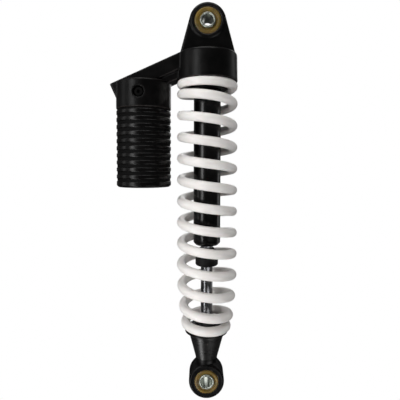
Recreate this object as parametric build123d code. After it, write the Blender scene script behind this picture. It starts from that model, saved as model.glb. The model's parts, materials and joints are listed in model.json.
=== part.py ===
"""Rear shock: coil-over damper with a side reservoir, one STEP file per piece.

Row frame: origin at the centre of the top eye, +Z up along the damper axis,
eye bores along Y, reservoir on the -X side. All sizes in millimetres.
"""
from build123d import *
import math
import os

# ---------------------------------------------------------------- driving sizes
EYE_TO_EYE = 330.0          # centre distance of the two eyes, shock extended
BOLT_DIA = 10.0             # bolt through either eye
SLEEVE_WALL = 1.9           # steel sleeve in either eye
SLEEVE_LENGTH = 24.0        # sleeve length along Y
SLEEVE_BEVEL = 0.35

LUG_RADIUS = 16.6           # round end of the top lug
LUG_THICKNESS = 20.0
LUG_SIDE_ANGLE = 15.2       # each side of the lug leans out by this many degrees
LUG_EDGE_ROUND = 1.5
BOSS_RADIUS = 15.3          # raised ring round the top bush
BOSS_PROUD = 1.2
BOSS_BEVEL = 0.6
TOP_BUSH_OD = 24.0
BUSH_BEVEL = 0.7
BUSH_DISH_DEPTH = 1.3       # trough in the bush round its sleeve
BUSH_DISH_WIDTH = 1.3
TOP_BUSH_SUNK = 0.2         # the top bush lies this far below the boss

CAP_TOP = -27.3             # shoulder of the spring hat
CAP_HEIGHT = 25.6
CAP_RADIUS = 27.9           # at the face the spring pushes on
CAP_DRAFT = 0.6             # the hat is this much slimmer at its shoulder
CAP_EDGE_ROUND = 2.6
SPIGOT_LENGTH = 7.0         # collar that centres the spring
SPIGOT_BEVEL = 1.0

ARM_ANGLE = 24.3            # arm slopes down towards the reservoir
ARM_ROOT_DROP = 2.25        # the arm's top meets the hat this far below its shoulder
ARM_DEPTH = 13.9
ARM_THICKNESS = 26.0
ARM_EDGE_ROUND = 1.4
ARM_CLIP = 0.6              # the arm's top stops this far below the hat's shoulder
ARM_OVERHANG = 4.0          # the arm's corner reaches this far past the reservoir
WEB_DEPTH = 6.4             # thinner web under the arm
WEB_THICKNESS = 21.0
WEB_OVERLAP = 2.0           # the web's root inside the arm

RESERVOIR_RADIUS = 25.0
RESERVOIR_LENGTH = 95.7     # from the top of the smooth band to the bottom edge
RESERVOIR_WALL = 6.5        # from the ribs' crests to the bore
SPRING_TO_RESERVOIR = 5.75  # clear gap beside the spring
BAND_HEIGHT = 24.9          # smooth band above the ribbed body
BAND_PROUD = 0.15
BAND_EDGE_ROUND = 1.6
BAND_DROP = 9.9             # the band's top lies this far below the arm's top face
RIB_PITCH = 6.45
GROOVE_DEPTH = 0.6
GROOVE_FLOOR = 1.9
GROOVE_CHAMFER = 0.5
RESERVOIR_BOTTOM_BEVEL = 1.6
NECK_INSET = 4.0            # the threaded neck is this much slimmer than the ribs
NECK_LENGTH = 7.4
NECK_BEVEL = 0.8

TUBE_RADIUS = 12.5
TUBE_WALL = 3.0
TUBE_TOP = -38.0
TUBE_TOP_BEVEL = 0.8
TUBE_END_LAND = 0.7         # flat left at the tube's end inside its bevel
TUBE_END_ABOVE_SPRING_FOOT = 79.4
ROD_RADIUS = 5.5
ROD_STEP = 1.05             # the tail that carries the piston is this much slimmer
ROD_TAIL_BEVEL = 0.8
ROD_FOOT_BEVEL = 1.0

BUMP_LENGTH = 16.4
BUMP_RADIUS = 10.6
BUMP_FOOT_BEVEL = 1.0
BUMP_LAND = 1.0             # flat round the bore at the stop's top
# inset and drop of each corner of the stop's dome
BUMP_CROWN = ((0.0, 6.0), (0.9, 3.4), (3.6, 0.8))
BUMP_CLEAR = 3.0            # gap between the stop and the tube's end

WIRE_RADIUS = 4.25
SPRING_OUTER_RADIUS = 28.0
SPRING_FOOT_ABOVE_EYE = 47.0
SPRING_END_DRAW = 5.45      # the last coil is drawn in by this much
SPRING_TAPER_TURN = 9.6     # turn where the coils begin to draw in
SPRING_TAPER_POWER = 1.3
SPRING_POINTS_PER_TURN = 12
# turn number, and drop of the wire's centre below the hat in wire diameters
SPRING_HEAD_LAY = (
    (-0.10, 0.153), (0.0, 0.235), (0.25, 0.33), (0.5, 0.494), (0.75, 0.812),
    (1.0, 1.294), (1.25, 1.788), (1.5, 2.365), (1.75, 2.953), (2.0, 3.565),
)
# turn number, and rise of the wire's centre above the lower seat in wire diameters
SPRING_FOOT_LAY = (
    (11.0, 2.53), (11.25, 2.0), (11.5, 1.53), (11.75, 1.07),
    (12.0, 0.682), (12.25, 0.447), (12.5, 0.318), (12.6, 0.27),
)

SEAT_RADIUS = 20.3          # lower spring seat flange
SEAT_THICKNESS = 2.5
SEAT_BEVEL = 0.5
SEAT_COLLAR_HEIGHT = 5.0
SEAT_COLLAR_BEVEL = 1.0
SEAT_COLLAR_WALL = 3.4
PILOT_RISE = 0.2            # the pilot ends this far above the seat's collar
SHOULDER_RADIUS = 16.5
SHOULDER_HEIGHT = 1.5
CONE_BOTTOM_ABOVE_EYE = 19.5
LOWER_NECK_RADIUS = 10.2
LOWER_EYE_RADIUS = 16.4
LOWER_EYE_THICKNESS = 22.0
LOWER_EYE_BEVEL = 1.5
LOWER_BUSH_OD = 22.0
LOWER_BUSH_PROUD = 0.6
LOCK_NUT_HEIGHT = 5.0
LOCK_NUT_FLATS_PER_ROD = 3.4  # flats across the lock nut for each unit of rod radius
NUT_CORNER_TRIM = 0.8       # share of a nut's corners that is turned off
HEX_FLAT_SHARE = math.cos(math.radians(30))

GUIDE_HEIGHT = 12.0
SEAL_HEIGHT = 4.5
SEAL_LIP_DEPTH = 2.0
GLAND_HEIGHT = 7.5
GLAND_GAP_SHARE = 0.4       # room between the gland and the rod, as a share of the wiper's width
WIPER_HEIGHT = 4.0
WIPER_INSET = 1.0           # the wiper is this much slimmer than the tube's bore
WIPER_LIP = 0.4
BUMPER_HEIGHT = 4.8
BUMPER_GAP = 0.2
BUMPER_INSET = 2.0          # the bumper is this much slimmer than the tube's bore
SHIM_THICKNESS = 1.0
SHIM_INSET = 2.5            # the widest shim is this much slimmer than the tube's bore
PISTON_HEIGHT = 10.0
PORT_RADIUS = 1.0
PORT_COUNT = 6
BAND_GROOVE_HEIGHT = 4.0
BAND_GROOVE_DEPTH = 1.2
PISTON_NUT_HEIGHT = 6.5
PISTON_NUT_INSET = 0.765    # the nut's corners are this far inside the tube's bore
THREAD_SHOW = 1.0           # thread standing past the piston nut

CORD_DEPTH = 1.3            # O-ring groove depth
CORD_WIDTH = 2.2            # O-ring groove width
CORD_SLACK = 0.1            # each side of an O-ring in its groove
TUBE_CORD_DROP = 5.0        # groove's top edge below the end it seals
NECK_CORD_DROP = 3.0
GUIDE_CORD_RISE = 5.0

END_CAP_INSET = 4.0
END_CAP_HEIGHT = 10.0
END_CAP_BEVEL = 0.5
FLOAT_DROP = 39.6           # floating piston's crown below the band's top
FLOAT_HEIGHT = 12.0
FLOAT_SKIRT = 4.0
FLOAT_CROWN = 5.0
CLIP_THICKNESS = 1.2
CLIP_GROOVE_DEPTH = 1.2
CLIP_REACH = 1.6            # the circlip stands this far into the bore
CLIP_OPENING = 6.0
CLIP_EYE_RADIUS = 2.0
CLIP_EYE_HOLE = 0.9
CLIP_EYE_X = 4.8
CLIP_EYE_INSET = 0.3        # an eye's centre lies this far inside the clip's inner edge
PLUG_RADIUS = 5.0
PLUG_LENGTH = 7.0
PLUG_SUNK = 0.4
PLUG_SOCKET = (2.5, 3.5)    # half the flats, depth
PASSAGE_RADIUS = 2.5
CHAMBER_RADIUS = 9.0
CHAMBER_ROOF_DROP = 2.6     # oil chamber's roof below the hat's shoulder
BLEED_DROP = 11.8           # bleed screw's axis below the band's top
BLEED_OFFSET = -1.4         # its axis stands this far to the side of the reservoir's
BLEED_RECESS_RADIUS = 4.8
BLEED_RECESS_DEPTH = 4.5
BLEED_HEAD_RADIUS = 3.6
BLEED_HEAD_HEIGHT = 1.8
BLEED_SHANK_RADIUS = 2.5
BLEED_SHANK_LENGTH = 8.0
BLEED_WAY_RADIUS = 1.5
BLEED_SOCKET = (1.5, 2.0)   # half the flats, depth
VALVE_THREAD_RADIUS = 4.0
VALVE_POCKET_RADIUS = 8.0
VALVE_POCKET_DEPTH = 5.5
VALVE_FLANGE = (5.4, 2.3)   # radius, height
VALVE_STEM_RADIUS = 2.6
VALVE_STEM_SHOW = 1.5
VALVE_TIP_RADIUS = 3.2
VALVE_TIP_LENGTH = 2.0
VALVE_WAY_RADIUS = 0.8
VALVE_CAP_RADIUS = 4.0
VALVE_CAP_SHOW = 3.2
VALVE_CAP_ROOF = 1.5
VALVE_CAP_BEVEL = 0.6

# ------------------------------------------------------------------ clearances
SEAT_GAP = 0.05             # screwed, pressed or seated pieces in one body
RUN_GAP = 0.05              # radial running fit of sliding and turning pieces
FREE_GAP = 0.4              # pieces that pass each other freely
BOLT_GAP = 0.1              # radial room for the bolt in a sleeve
WEB_TO_SPRING = 0.9         # the web stays this far outside the spring
CUT_OVERRUN = 1.0           # a cut runs this far past the face it opens

# -------------------------------------------------------------- derived sizes
LOWER_EYE_Z = -EYE_TO_EYE
SLEEVE_BORE_RADIUS = BOLT_DIA / 2 + BOLT_GAP
SLEEVE_RADIUS = SLEEVE_BORE_RADIUS + SLEEVE_WALL
CAP_BOTTOM = CAP_TOP - CAP_HEIGHT
CAP_TOP_RADIUS = CAP_RADIUS - CAP_DRAFT
WIRE_DIA = 2 * WIRE_RADIUS
SPRING_MEAN_RADIUS = SPRING_OUTER_RADIUS - WIRE_RADIUS
SPRING_END_RADIUS = SPRING_MEAN_RADIUS - SPRING_END_DRAW
SPRING_BOTTOM = LOWER_EYE_Z + SPRING_FOOT_ABOVE_EYE
SPRING_LAY = tuple((turn, CAP_BOTTOM - drop * WIRE_DIA) for turn, drop in SPRING_HEAD_LAY) + tuple(
    (turn, SPRING_BOTTOM + rise * WIRE_DIA) for turn, rise in SPRING_FOOT_LAY)

ARM_COS = math.cos(math.radians(ARM_ANGLE))
ARM_SIN = math.sin(math.radians(ARM_ANGLE))
RESERVOIR_X = -(SPRING_OUTER_RADIUS + SPRING_TO_RESERVOIR + RESERVOIR_RADIUS)
ARM_TIP_X = RESERVOIR_X - RESERVOIR_RADIUS - ARM_OVERHANG
ARM_TIP_Z = CAP_TOP - ARM_ROOT_DROP + (ARM_TIP_X + CAP_TOP_RADIUS) * ARM_SIN / ARM_COS
BAND_RADIUS = RESERVOIR_RADIUS + BAND_PROUD
BAND_TOP = ARM_TIP_Z + (RESERVOIR_X - ARM_TIP_X) * ARM_SIN / ARM_COS - BAND_DROP
BAND_BOTTOM = BAND_TOP - BAND_HEIGHT
RESERVOIR_BOTTOM = BAND_TOP - RESERVOIR_LENGTH
RESERVOIR_BORE_RADIUS = RESERVOIR_RADIUS - RESERVOIR_WALL
RIB_COUNT = int((BAND_BOTTOM - RESERVOIR_BOTTOM - RIB_PITCH / 2 - RESERVOIR_BOTTOM_BEVEL) / RIB_PITCH)
NECK_RADIUS = RESERVOIR_RADIUS - NECK_INSET
NECK_TOP = BAND_BOTTOM + NECK_LENGTH
SOCKET_TOP = NECK_TOP + FREE_GAP
END_CAP_BOTTOM = RESERVOIR_BOTTOM + END_CAP_INSET
END_CAP_TOP = END_CAP_BOTTOM + END_CAP_HEIGHT
END_CAP_MIDDLE = (END_CAP_TOP + END_CAP_BOTTOM) / 2
VALVE_POCKET_TOP = END_CAP_BOTTOM + VALVE_POCKET_DEPTH
VALVE_STEM_LOW = END_CAP_BOTTOM - VALVE_STEM_SHOW
FLOAT_TOP = BAND_TOP - FLOAT_DROP
FLOAT_RADIUS = RESERVOIR_BORE_RADIUS - RUN_GAP
BLEED_X = RESERVOIR_X + BLEED_OFFSET
BLEED_Z = BAND_TOP - BLEED_DROP
BLEED_FLOOR_Y = BLEED_RECESS_DEPTH - BAND_RADIUS

TUBE_BOTTOM = SPRING_BOTTOM + TUBE_END_ABOVE_SPRING_FOOT
TUBE_BORE_RADIUS = TUBE_RADIUS - TUBE_WALL
TUBE_END_CHAMFER = TUBE_WALL - TUBE_END_LAND
SEAT_RADIUS_IN_TUBE = TUBE_BORE_RADIUS - SEAT_GAP
SEAL_BOTTOM = TUBE_BOTTOM + GLAND_HEIGHT
GUIDE_BOTTOM = SEAL_BOTTOM + SEAL_HEIGHT
GUIDE_TOP = GUIDE_BOTTOM + GUIDE_HEIGHT
WIPER_TOP = TUBE_BOTTOM + WIPER_HEIGHT
WIPER_RADIUS = TUBE_BORE_RADIUS - WIPER_INSET
GLAND_BORE_RADIUS = ROD_RADIUS + (WIPER_RADIUS - ROD_RADIUS) * GLAND_GAP_SHARE
ROD_TAIL_RADIUS = ROD_RADIUS - ROD_STEP
ROD_SHOULDER = GUIDE_TOP + BUMPER_HEIGHT + BUMPER_GAP
SHIM_RADIUS = TUBE_BORE_RADIUS - SHIM_INSET
PISTON_RADIUS = TUBE_BORE_RADIUS - RUN_GAP
PISTON_NUT_CROWN = TUBE_BORE_RADIUS - PISTON_NUT_INSET
LOCK_NUT_CROWN = ROD_RADIUS * LOCK_NUT_FLATS_PER_ROD / 2 / HEX_FLAT_SHARE
PISTON_BOTTOM = ROD_SHOULDER + SHIM_THICKNESS
PISTON_TOP = PISTON_BOTTOM + PISTON_HEIGHT
BAND_GROOVE_LOW = (PISTON_BOTTOM + PISTON_TOP - BAND_GROOVE_HEIGHT) / 2
BAND_GROOVE_HIGH = BAND_GROOVE_LOW + BAND_GROOVE_HEIGHT
PISTON_NUT_LOW = PISTON_TOP + SHIM_THICKNESS
ROD_TOP = PISTON_NUT_LOW + PISTON_NUT_HEIGHT + THREAD_SHOW
BUMP_TOP = TUBE_BOTTOM - BUMP_CLEAR
BUMP_BOTTOM = BUMP_TOP - BUMP_LENGTH

SEAT_BOTTOM = SPRING_BOTTOM - SEAT_THICKNESS
COLLAR_RADIUS = SPRING_END_RADIUS - WIRE_RADIUS - FREE_GAP
PILOT_RADIUS = COLLAR_RADIUS - SEAT_COLLAR_WALL - FREE_GAP
PILOT_TOP = SPRING_BOTTOM + SEAT_COLLAR_HEIGHT + PILOT_RISE
LOWER_CONE_BOTTOM = LOWER_EYE_Z + CONE_BOTTOM_ABOVE_EYE
ROD_BOTTOM = LOWER_CONE_BOTTOM + ROD_FOOT_BEVEL


# ------------------------------------------------------------------- helpers
def turned(points, x=0.0):
    """Solid of revolution about a vertical axis at X from (radius, z) corners."""
    face = make_face(Plane.XZ * Polyline(*points, close=True))
    return Pos(x, 0, 0) * revolve(face, Axis.Z)


def ring(outer, inner, low, high, x=0.0):
    """Plain ring or washer about a vertical axis."""
    return turned([(inner, low), (outer, low), (outer, high), (inner, high)], x)


def groove_about(middle):
    """Lowest and highest z of an O-ring groove centred at a height."""
    return (middle - CORD_WIDTH / 2, middle + CORD_WIDTH / 2)


def cord_ring(outer, inner, groove_top, x=0.0):
    """O-ring seated in a groove that ends at groove_top."""
    return ring(outer, inner, groove_top - CORD_WIDTH + CORD_SLACK, groove_top - CORD_SLACK, x)


def rod_z(radius, low, high, x=0.0):
    """Plain cylinder about a vertical axis."""
    return Pos(x, 0, (low + high) / 2) * Cylinder(radius, high - low)


def hex_z(flats, low, high, x=0.0):
    """Hexagonal bar about a vertical axis."""
    profile = RegularPolygon(flats / 2, 6, major_radius=False)
    return Pos(x, 0, low) * extrude(profile, high - low)


def across(points, z):
    """Solid of revolution about the eye axis (along Y) at height z."""
    return Pos(0, 0, z) * Rot(X=90) * turned(points)


def arm_point(along, down):
    """X, Z of a point measured along the arm from its tip and down from its top face."""
    x = ARM_TIP_X + along * ARM_COS + down * ARM_SIN
    z = ARM_TIP_Z + along * ARM_SIN - down * ARM_COS
    return (x, z)


def arm_bore(radius, start, end):
    """Cylinder along the middle of the arm between two distances from its outer end."""
    x, z = arm_point((start + end) / 2, ARM_DEPTH / 2)
    return Pos(x, 0, z) * Rot(Y=90 - ARM_ANGLE) * Cylinder(radius, end - start)


def plate_y(corners, thickness):
    """Flat plate with an X, Z outline, centred on Y = 0."""
    face = make_face(Plane.XZ * Polyline(*corners, close=True))
    return extrude(face, thickness / 2, both=True)


# --------------------------------------------------------------- head casting
def top_lug():
    """Straight-sided lug with a round end, rounded all round."""
    lean = math.radians(LUG_SIDE_ANGLE)
    foot_z = CAP_TOP - CAP_EDGE_ROUND
    foot_x = (LUG_RADIUS - foot_z * math.sin(lean)) / math.cos(lean)
    side = (LUG_RADIUS * math.cos(lean), LUG_RADIUS * math.sin(lean))
    corners = [side, (foot_x, foot_z), (-foot_x, foot_z), (-side[0], side[1])]
    outline = make_face(Polyline(*corners, close=True)) + Circle(LUG_RADIUS)
    lug = extrude(Plane.XZ * outline, LUG_THICKNESS / 2, both=True)
    rims = lug.faces().filter_by(Axis.Y).edges()
    return fillet(rims, LUG_EDGE_ROUND)


def eye_boss():
    """Raised ring on both faces of the lug."""
    half = LUG_THICKNESS / 2 + BOSS_PROUD
    points = [
        (0, -half), (BOSS_RADIUS - BOSS_BEVEL, -half), (BOSS_RADIUS, -half + BOSS_BEVEL),
        (BOSS_RADIUS, half - BOSS_BEVEL), (BOSS_RADIUS - BOSS_BEVEL, half), (0, half),
    ]
    return across(points, 0)


def spring_hat():
    """Round cap over the spring, with a soft shoulder."""
    points = [(0, CAP_BOTTOM), (CAP_RADIUS, CAP_BOTTOM), (CAP_TOP_RADIUS, CAP_TOP), (0, CAP_TOP)]
    hat = turned(points)
    shoulder = hat.edges().filter_by(GeomType.CIRCLE).sort_by(Axis.Z)[-1]
    return fillet(shoulder, CAP_EDGE_ROUND)


def arm_beam():
    """Deep upper beam of the arm, from its outer end to the hat."""
    length = (-ARM_TIP_X - CHAMBER_RADIUS) / ARM_COS
    corners = [arm_point(0, 0), arm_point(length, 0), arm_point(length, ARM_DEPTH), arm_point(0, ARM_DEPTH)]
    beam = plate_y(corners, ARM_THICKNESS)
    long_edges = beam.edges().filter_by(lambda e: abs(e.tangent_at(0.5).Y) < 0.1)
    beam = fillet(long_edges, ARM_EDGE_ROUND)
    wide = 4 * CAP_RADIUS
    above_hat = Pos(0, 0, CAP_TOP + ARM_DEPTH - ARM_CLIP) * Box(wide, wide, 2 * ARM_DEPTH)
    return beam - above_hat


def arm_web():
    """Thinner web between the beam, the hat and the reservoir band, clear of the spring."""
    near = (-TUBE_RADIUS - CHAMBER_RADIUS - ARM_TIP_X) / ARM_COS
    far = (RESERVOIR_X - ARM_TIP_X) / ARM_COS
    top = ARM_DEPTH - WEB_OVERLAP
    low = ARM_DEPTH + WEB_DEPTH
    web = plate_y([arm_point(far, top), arm_point(near, top), arm_point(near, low), arm_point(far, low)],
                  WEB_THICKNESS)
    return web - rod_z(SPRING_OUTER_RADIUS + WEB_TO_SPRING, CAP_BOTTOM - RESERVOIR_RADIUS, CAP_BOTTOM)


def reservoir_band():
    """Smooth band that the reservoir screws into."""
    soft = GROOVE_CHAMFER
    points = [
        (0, BAND_BOTTOM), (BAND_RADIUS - soft, BAND_BOTTOM), (BAND_RADIUS, BAND_BOTTOM + soft),
        (BAND_RADIUS, BAND_TOP), (0, BAND_TOP),
    ]
    band = turned(points, RESERVOIR_X)
    rim = band.edges().filter_by(GeomType.CIRCLE).sort_by(Axis.Z)[-1]
    return fillet(rim, BAND_EDGE_ROUND)


def spring_spigot():
    """Collar under the hat that centres the spring's first coil."""
    radius = SPRING_MEAN_RADIUS - WIRE_RADIUS - FREE_GAP
    low = CAP_BOTTOM - SPIGOT_LENGTH
    root = CAP_BOTTOM + CUT_OVERRUN
    return turned([
        (0, low), (radius - SPIGOT_BEVEL, low), (radius, low + SPIGOT_BEVEL), (radius, root), (0, root),
    ])


def bore_y(radius, length, z):
    """Cylinder along the eye axis, to cut an eye."""
    return Pos(0, 0, z) * Rot(X=90) * Cylinder(radius, length)


def head_oilways():
    """Tube socket, oil chamber, arm passage and reservoir socket."""
    groove_top = TUBE_TOP - TUBE_CORD_DROP
    riser_top = arm_point((RESERVOIR_X - ARM_TIP_X) / ARM_COS, ARM_DEPTH / 2)[1]
    cuts = rod_z(TUBE_RADIUS + SEAT_GAP, CAP_BOTTOM - SPIGOT_LENGTH - CUT_OVERRUN, TUBE_TOP)
    cuts += rod_z(CHAMBER_RADIUS, TUBE_TOP - CUT_OVERRUN, CAP_TOP - CHAMBER_ROOF_DROP)
    cuts += ring(TUBE_RADIUS + CORD_DEPTH, TUBE_RADIUS - CUT_OVERRUN, groove_top - CORD_WIDTH, groove_top)
    cuts += arm_bore(PASSAGE_RADIUS, -CUT_OVERRUN, -ARM_TIP_X / ARM_COS)
    cuts += arm_bore(PLUG_RADIUS, -CUT_OVERRUN, PLUG_LENGTH + FREE_GAP)
    cuts += rod_z(NECK_RADIUS + SEAT_GAP, BAND_BOTTOM - CUT_OVERRUN, SOCKET_TOP, RESERVOIR_X)
    cuts += rod_z(PASSAGE_RADIUS, SOCKET_TOP - CUT_OVERRUN, riser_top, RESERVOIR_X)
    return cuts


def drill_y(radius, near_y, far_y):
    """Drilling along Y into the front of the reservoir band."""
    middle = (near_y + far_y) / 2
    return Pos(BLEED_X, middle, BLEED_Z) * Rot(X=90) * Cylinder(radius, far_y - near_y)


def head_casting():
    """Top eye, spring hat, arm and reservoir head in one casting."""
    body = top_lug() + eye_boss() + spring_hat() + arm_beam() + arm_web() + reservoir_band()
    body = body + spring_spigot()
    body = body - bore_y(TOP_BUSH_OD / 2 + SEAT_GAP, LUG_THICKNESS + 4 * BOSS_PROUD, 0.0)
    body = body - head_oilways()
    shank_end = BLEED_FLOOR_Y + BLEED_SHANK_LENGTH + FREE_GAP
    body = body - drill_y(BLEED_RECESS_RADIUS, -BAND_RADIUS - CUT_OVERRUN, BLEED_FLOOR_Y)
    body = body - drill_y(BLEED_SHANK_RADIUS + SEAT_GAP, BLEED_FLOOR_Y - CUT_OVERRUN, shank_end)
    return body - drill_y(BLEED_WAY_RADIUS, BLEED_FLOOR_Y, 0.0)


# --------------------------------------------------------- bushes and sleeves
def eye_bush(outer, half, z):
    """Urethane bush with a shallow trough round the sleeve on both faces."""
    inner = SLEEVE_RADIUS + RUN_GAP
    dish = inner + BUSH_DISH_WIDTH
    lip = dish + FREE_GAP
    low = half - BUSH_DISH_DEPTH
    points = [
        (inner, -low), (dish, -low), (lip, -half), (outer - BUSH_BEVEL, -half),
        (outer, -half + BUSH_BEVEL), (outer, half - BUSH_BEVEL), (outer - BUSH_BEVEL, half), (lip, half),
        (dish, low), (inner, low),
    ]
    return across(points, z)


def eye_sleeve(z):
    """Plated steel sleeve with chamfered ends."""
    half = SLEEVE_LENGTH / 2
    inner = SLEEVE_BORE_RADIUS
    outer = SLEEVE_RADIUS
    bevel = SLEEVE_BEVEL
    points = [
        (inner, -half + bevel), (inner + bevel, -half), (outer - bevel, -half), (outer, -half + bevel),
        (outer, half - bevel), (outer - bevel, half), (inner + bevel, half), (inner, half - bevel),
    ]
    return across(points, z)


# --------------------------------------------------------------------- damper
def damper_tube():
    """Tube screwed up into the head, turned down to a bevel at its lower end."""
    points = [
        (TUBE_BORE_RADIUS, TUBE_BOTTOM), (TUBE_RADIUS - TUBE_END_CHAMFER, TUBE_BOTTOM),
        (TUBE_RADIUS, TUBE_BOTTOM + TUBE_END_CHAMFER), (TUBE_RADIUS, TUBE_TOP - TUBE_TOP_BEVEL),
        (TUBE_RADIUS - TUBE_TOP_BEVEL, TUBE_TOP), (TUBE_BORE_RADIUS, TUBE_TOP),
    ]
    return turned(points)


def tube_o_ring():
    """Seal between the tube and the head."""
    top = TUBE_TOP - TUBE_CORD_DROP
    return cord_ring(TUBE_RADIUS + CORD_DEPTH - SEAT_GAP, TUBE_RADIUS + SEAT_GAP, top)


def rod_guide():
    """Bushed guide the rod runs through, with a seal groove outside."""
    outer = SEAT_RADIUS_IN_TUBE
    inner = ROD_RADIUS + RUN_GAP
    floor = outer - CORD_DEPTH
    low = GUIDE_BOTTOM + GUIDE_CORD_RISE
    high = low + CORD_WIDTH
    points = [
        (inner, GUIDE_BOTTOM), (outer, GUIDE_BOTTOM), (outer, low), (floor, low),
        (floor, high), (outer, high), (outer, GUIDE_TOP), (inner, GUIDE_TOP),
    ]
    return turned(points)


def guide_o_ring():
    """Seal between the guide and the tube."""
    outer = SEAT_RADIUS_IN_TUBE
    return cord_ring(outer, outer - CORD_DEPTH + SEAT_GAP, GUIDE_BOTTOM + GUIDE_CORD_RISE + CORD_WIDTH)


def oil_seal():
    """Rod seal under the guide, hollowed on its upper side."""
    outer = SEAT_RADIUS_IN_TUBE
    inner = ROD_RADIUS + RUN_GAP
    wall = (outer - inner) / 4
    lip = GUIDE_BOTTOM - SEAL_LIP_DEPTH
    points = [
        (inner, SEAL_BOTTOM), (outer, SEAL_BOTTOM), (outer, GUIDE_BOTTOM), (outer - wall, GUIDE_BOTTOM),
        (outer - wall, lip), (inner + wall, lip), (inner + wall, GUIDE_BOTTOM - FREE_GAP),
        (inner, GUIDE_BOTTOM - FREE_GAP),
    ]
    return turned(points)


def gland_nut():
    """Threaded ring that closes the tube, with a pocket for the wiper."""
    outer = SEAT_RADIUS_IN_TUBE
    bore = GLAND_BORE_RADIUS
    pocket = WIPER_RADIUS + SEAT_GAP
    points = [
        (pocket, TUBE_BOTTOM), (outer, TUBE_BOTTOM), (outer, SEAL_BOTTOM),
        (bore, SEAL_BOTTOM), (bore, WIPER_TOP), (pocket, WIPER_TOP),
    ]
    return turned(points)


def dust_wiper():
    """Wiper with a lip that leans on the rod below the gland."""
    inner = ROD_RADIUS + RUN_GAP
    points = [
        (inner, TUBE_BOTTOM - WIPER_LIP), (inner + 2 * WIPER_LIP, TUBE_BOTTOM - WIPER_LIP),
        (WIPER_RADIUS, TUBE_BOTTOM + WIPER_LIP), (WIPER_RADIUS, WIPER_TOP), (inner, WIPER_TOP),
    ]
    return turned(points)


def topout_bumper():
    """Rubber ring that cushions the piston when the shock is fully extended."""
    outer = TUBE_BORE_RADIUS - BUMPER_INSET
    return ring(outer, ROD_RADIUS + FREE_GAP, GUIDE_TOP, GUIDE_TOP + BUMPER_HEIGHT)


def piston():
    """Ported piston with a groove for its wear band."""
    bore = ROD_TAIL_RADIUS + SEAT_GAP
    floor = PISTON_RADIUS - BAND_GROOVE_DEPTH
    points = [
        (bore, PISTON_BOTTOM), (PISTON_RADIUS, PISTON_BOTTOM), (PISTON_RADIUS, BAND_GROOVE_LOW),
        (floor, BAND_GROOVE_LOW), (floor, BAND_GROOVE_HIGH), (PISTON_RADIUS, BAND_GROOVE_HIGH),
        (PISTON_RADIUS, PISTON_TOP), (bore, PISTON_TOP),
    ]
    body = turned(points)
    middle = Pos(0, 0, (PISTON_BOTTOM + PISTON_TOP) / 2)
    port = Cylinder(PORT_RADIUS, PISTON_HEIGHT + CUT_OVERRUN)
    ports = PolarLocations((ROD_TAIL_RADIUS + floor) / 2, PORT_COUNT)
    return body - [middle * place * port for place in ports.locations]


def piston_band():
    """Wear band that seals the piston in the tube."""
    inner = PISTON_RADIUS - BAND_GROOVE_DEPTH + RUN_GAP
    outer = TUBE_BORE_RADIUS - RUN_GAP
    return ring(outer, inner, BAND_GROOVE_LOW + CORD_SLACK, BAND_GROOVE_HIGH - CORD_SLACK)


def shim_stack(low, smaller_first):
    """Stack of spring shims, stepping down to the rod's width away from the piston."""
    bore = ROD_TAIL_RADIUS + SEAT_GAP
    step = SHIM_THICKNESS / 2
    radii = [SHIM_RADIUS, ROD_RADIUS]
    if smaller_first:
        radii.reverse()
    points = [
        (bore, low), (radii[0], low), (radii[0], low + step), (radii[1], low + step),
        (radii[1], low + 2 * step), (bore, low + 2 * step),
    ]
    return turned(points)


def hex_nut(thread, crown, low, height):
    """Hexagon nut for a thread radius and a corner radius, with its corners turned off."""
    flats = 2 * crown * HEX_FLAT_SHARE
    bore = thread + SEAT_GAP
    high = low + height
    trim = (crown - flats / 2) * NUT_CORNER_TRIM
    envelope = turned([
        (0, low), (crown - trim, low), (crown, low + trim / 2), (crown, high - trim / 2),
        (crown - trim, high), (0, high),
    ])
    return (hex_z(flats, low, high) & envelope) - rod_z(bore, low - CUT_OVERRUN, high + CUT_OVERRUN)


def piston_rod():
    """Chromed rod with a turned-down tail for the piston and a tapered foot."""
    tail = ROD_TAIL_RADIUS
    points = [
        (0, ROD_BOTTOM), (ROD_RADIUS - ROD_FOOT_BEVEL, ROD_BOTTOM),
        (ROD_RADIUS, ROD_BOTTOM + ROD_FOOT_BEVEL), (ROD_RADIUS, ROD_SHOULDER), (tail, ROD_SHOULDER),
        (tail, ROD_TOP - ROD_TAIL_BEVEL), (tail - ROD_TAIL_BEVEL, ROD_TOP), (0, ROD_TOP),
    ]
    return turned(points)


def bump_stop():
    """Rubber stop with a domed top and a bevelled lower edge."""
    inner = ROD_RADIUS + FREE_GAP
    points = [
        (inner, BUMP_BOTTOM), (BUMP_RADIUS - BUMP_FOOT_BEVEL, BUMP_BOTTOM),
        (BUMP_RADIUS, BUMP_BOTTOM + BUMP_FOOT_BEVEL),
    ]
    points += [(BUMP_RADIUS - inset, BUMP_TOP - drop) for inset, drop in BUMP_CROWN]
    points += [(inner + BUMP_LAND, BUMP_TOP), (inner, BUMP_TOP)]
    return turned(points)


# --------------------------------------------------------------------- spring
def spring_height(turn):
    """Height of the wire's centre line at a turn number."""
    for (t0, z0), (t1, z1) in zip(SPRING_LAY, SPRING_LAY[1:]):
        if turn <= t1:
            return z0 + (z1 - z0) * (turn - t0) / (t1 - t0)
    return SPRING_LAY[-1][1]


def spring_radius(turn):
    """Mean radius at a turn number; the last coils draw in."""
    share = max(0.0, (turn - SPRING_TAPER_TURN) / (SPRING_LAY[-1][0] - SPRING_TAPER_TURN))
    return SPRING_MEAN_RADIUS - SPRING_END_DRAW * share ** SPRING_TAPER_POWER


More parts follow.
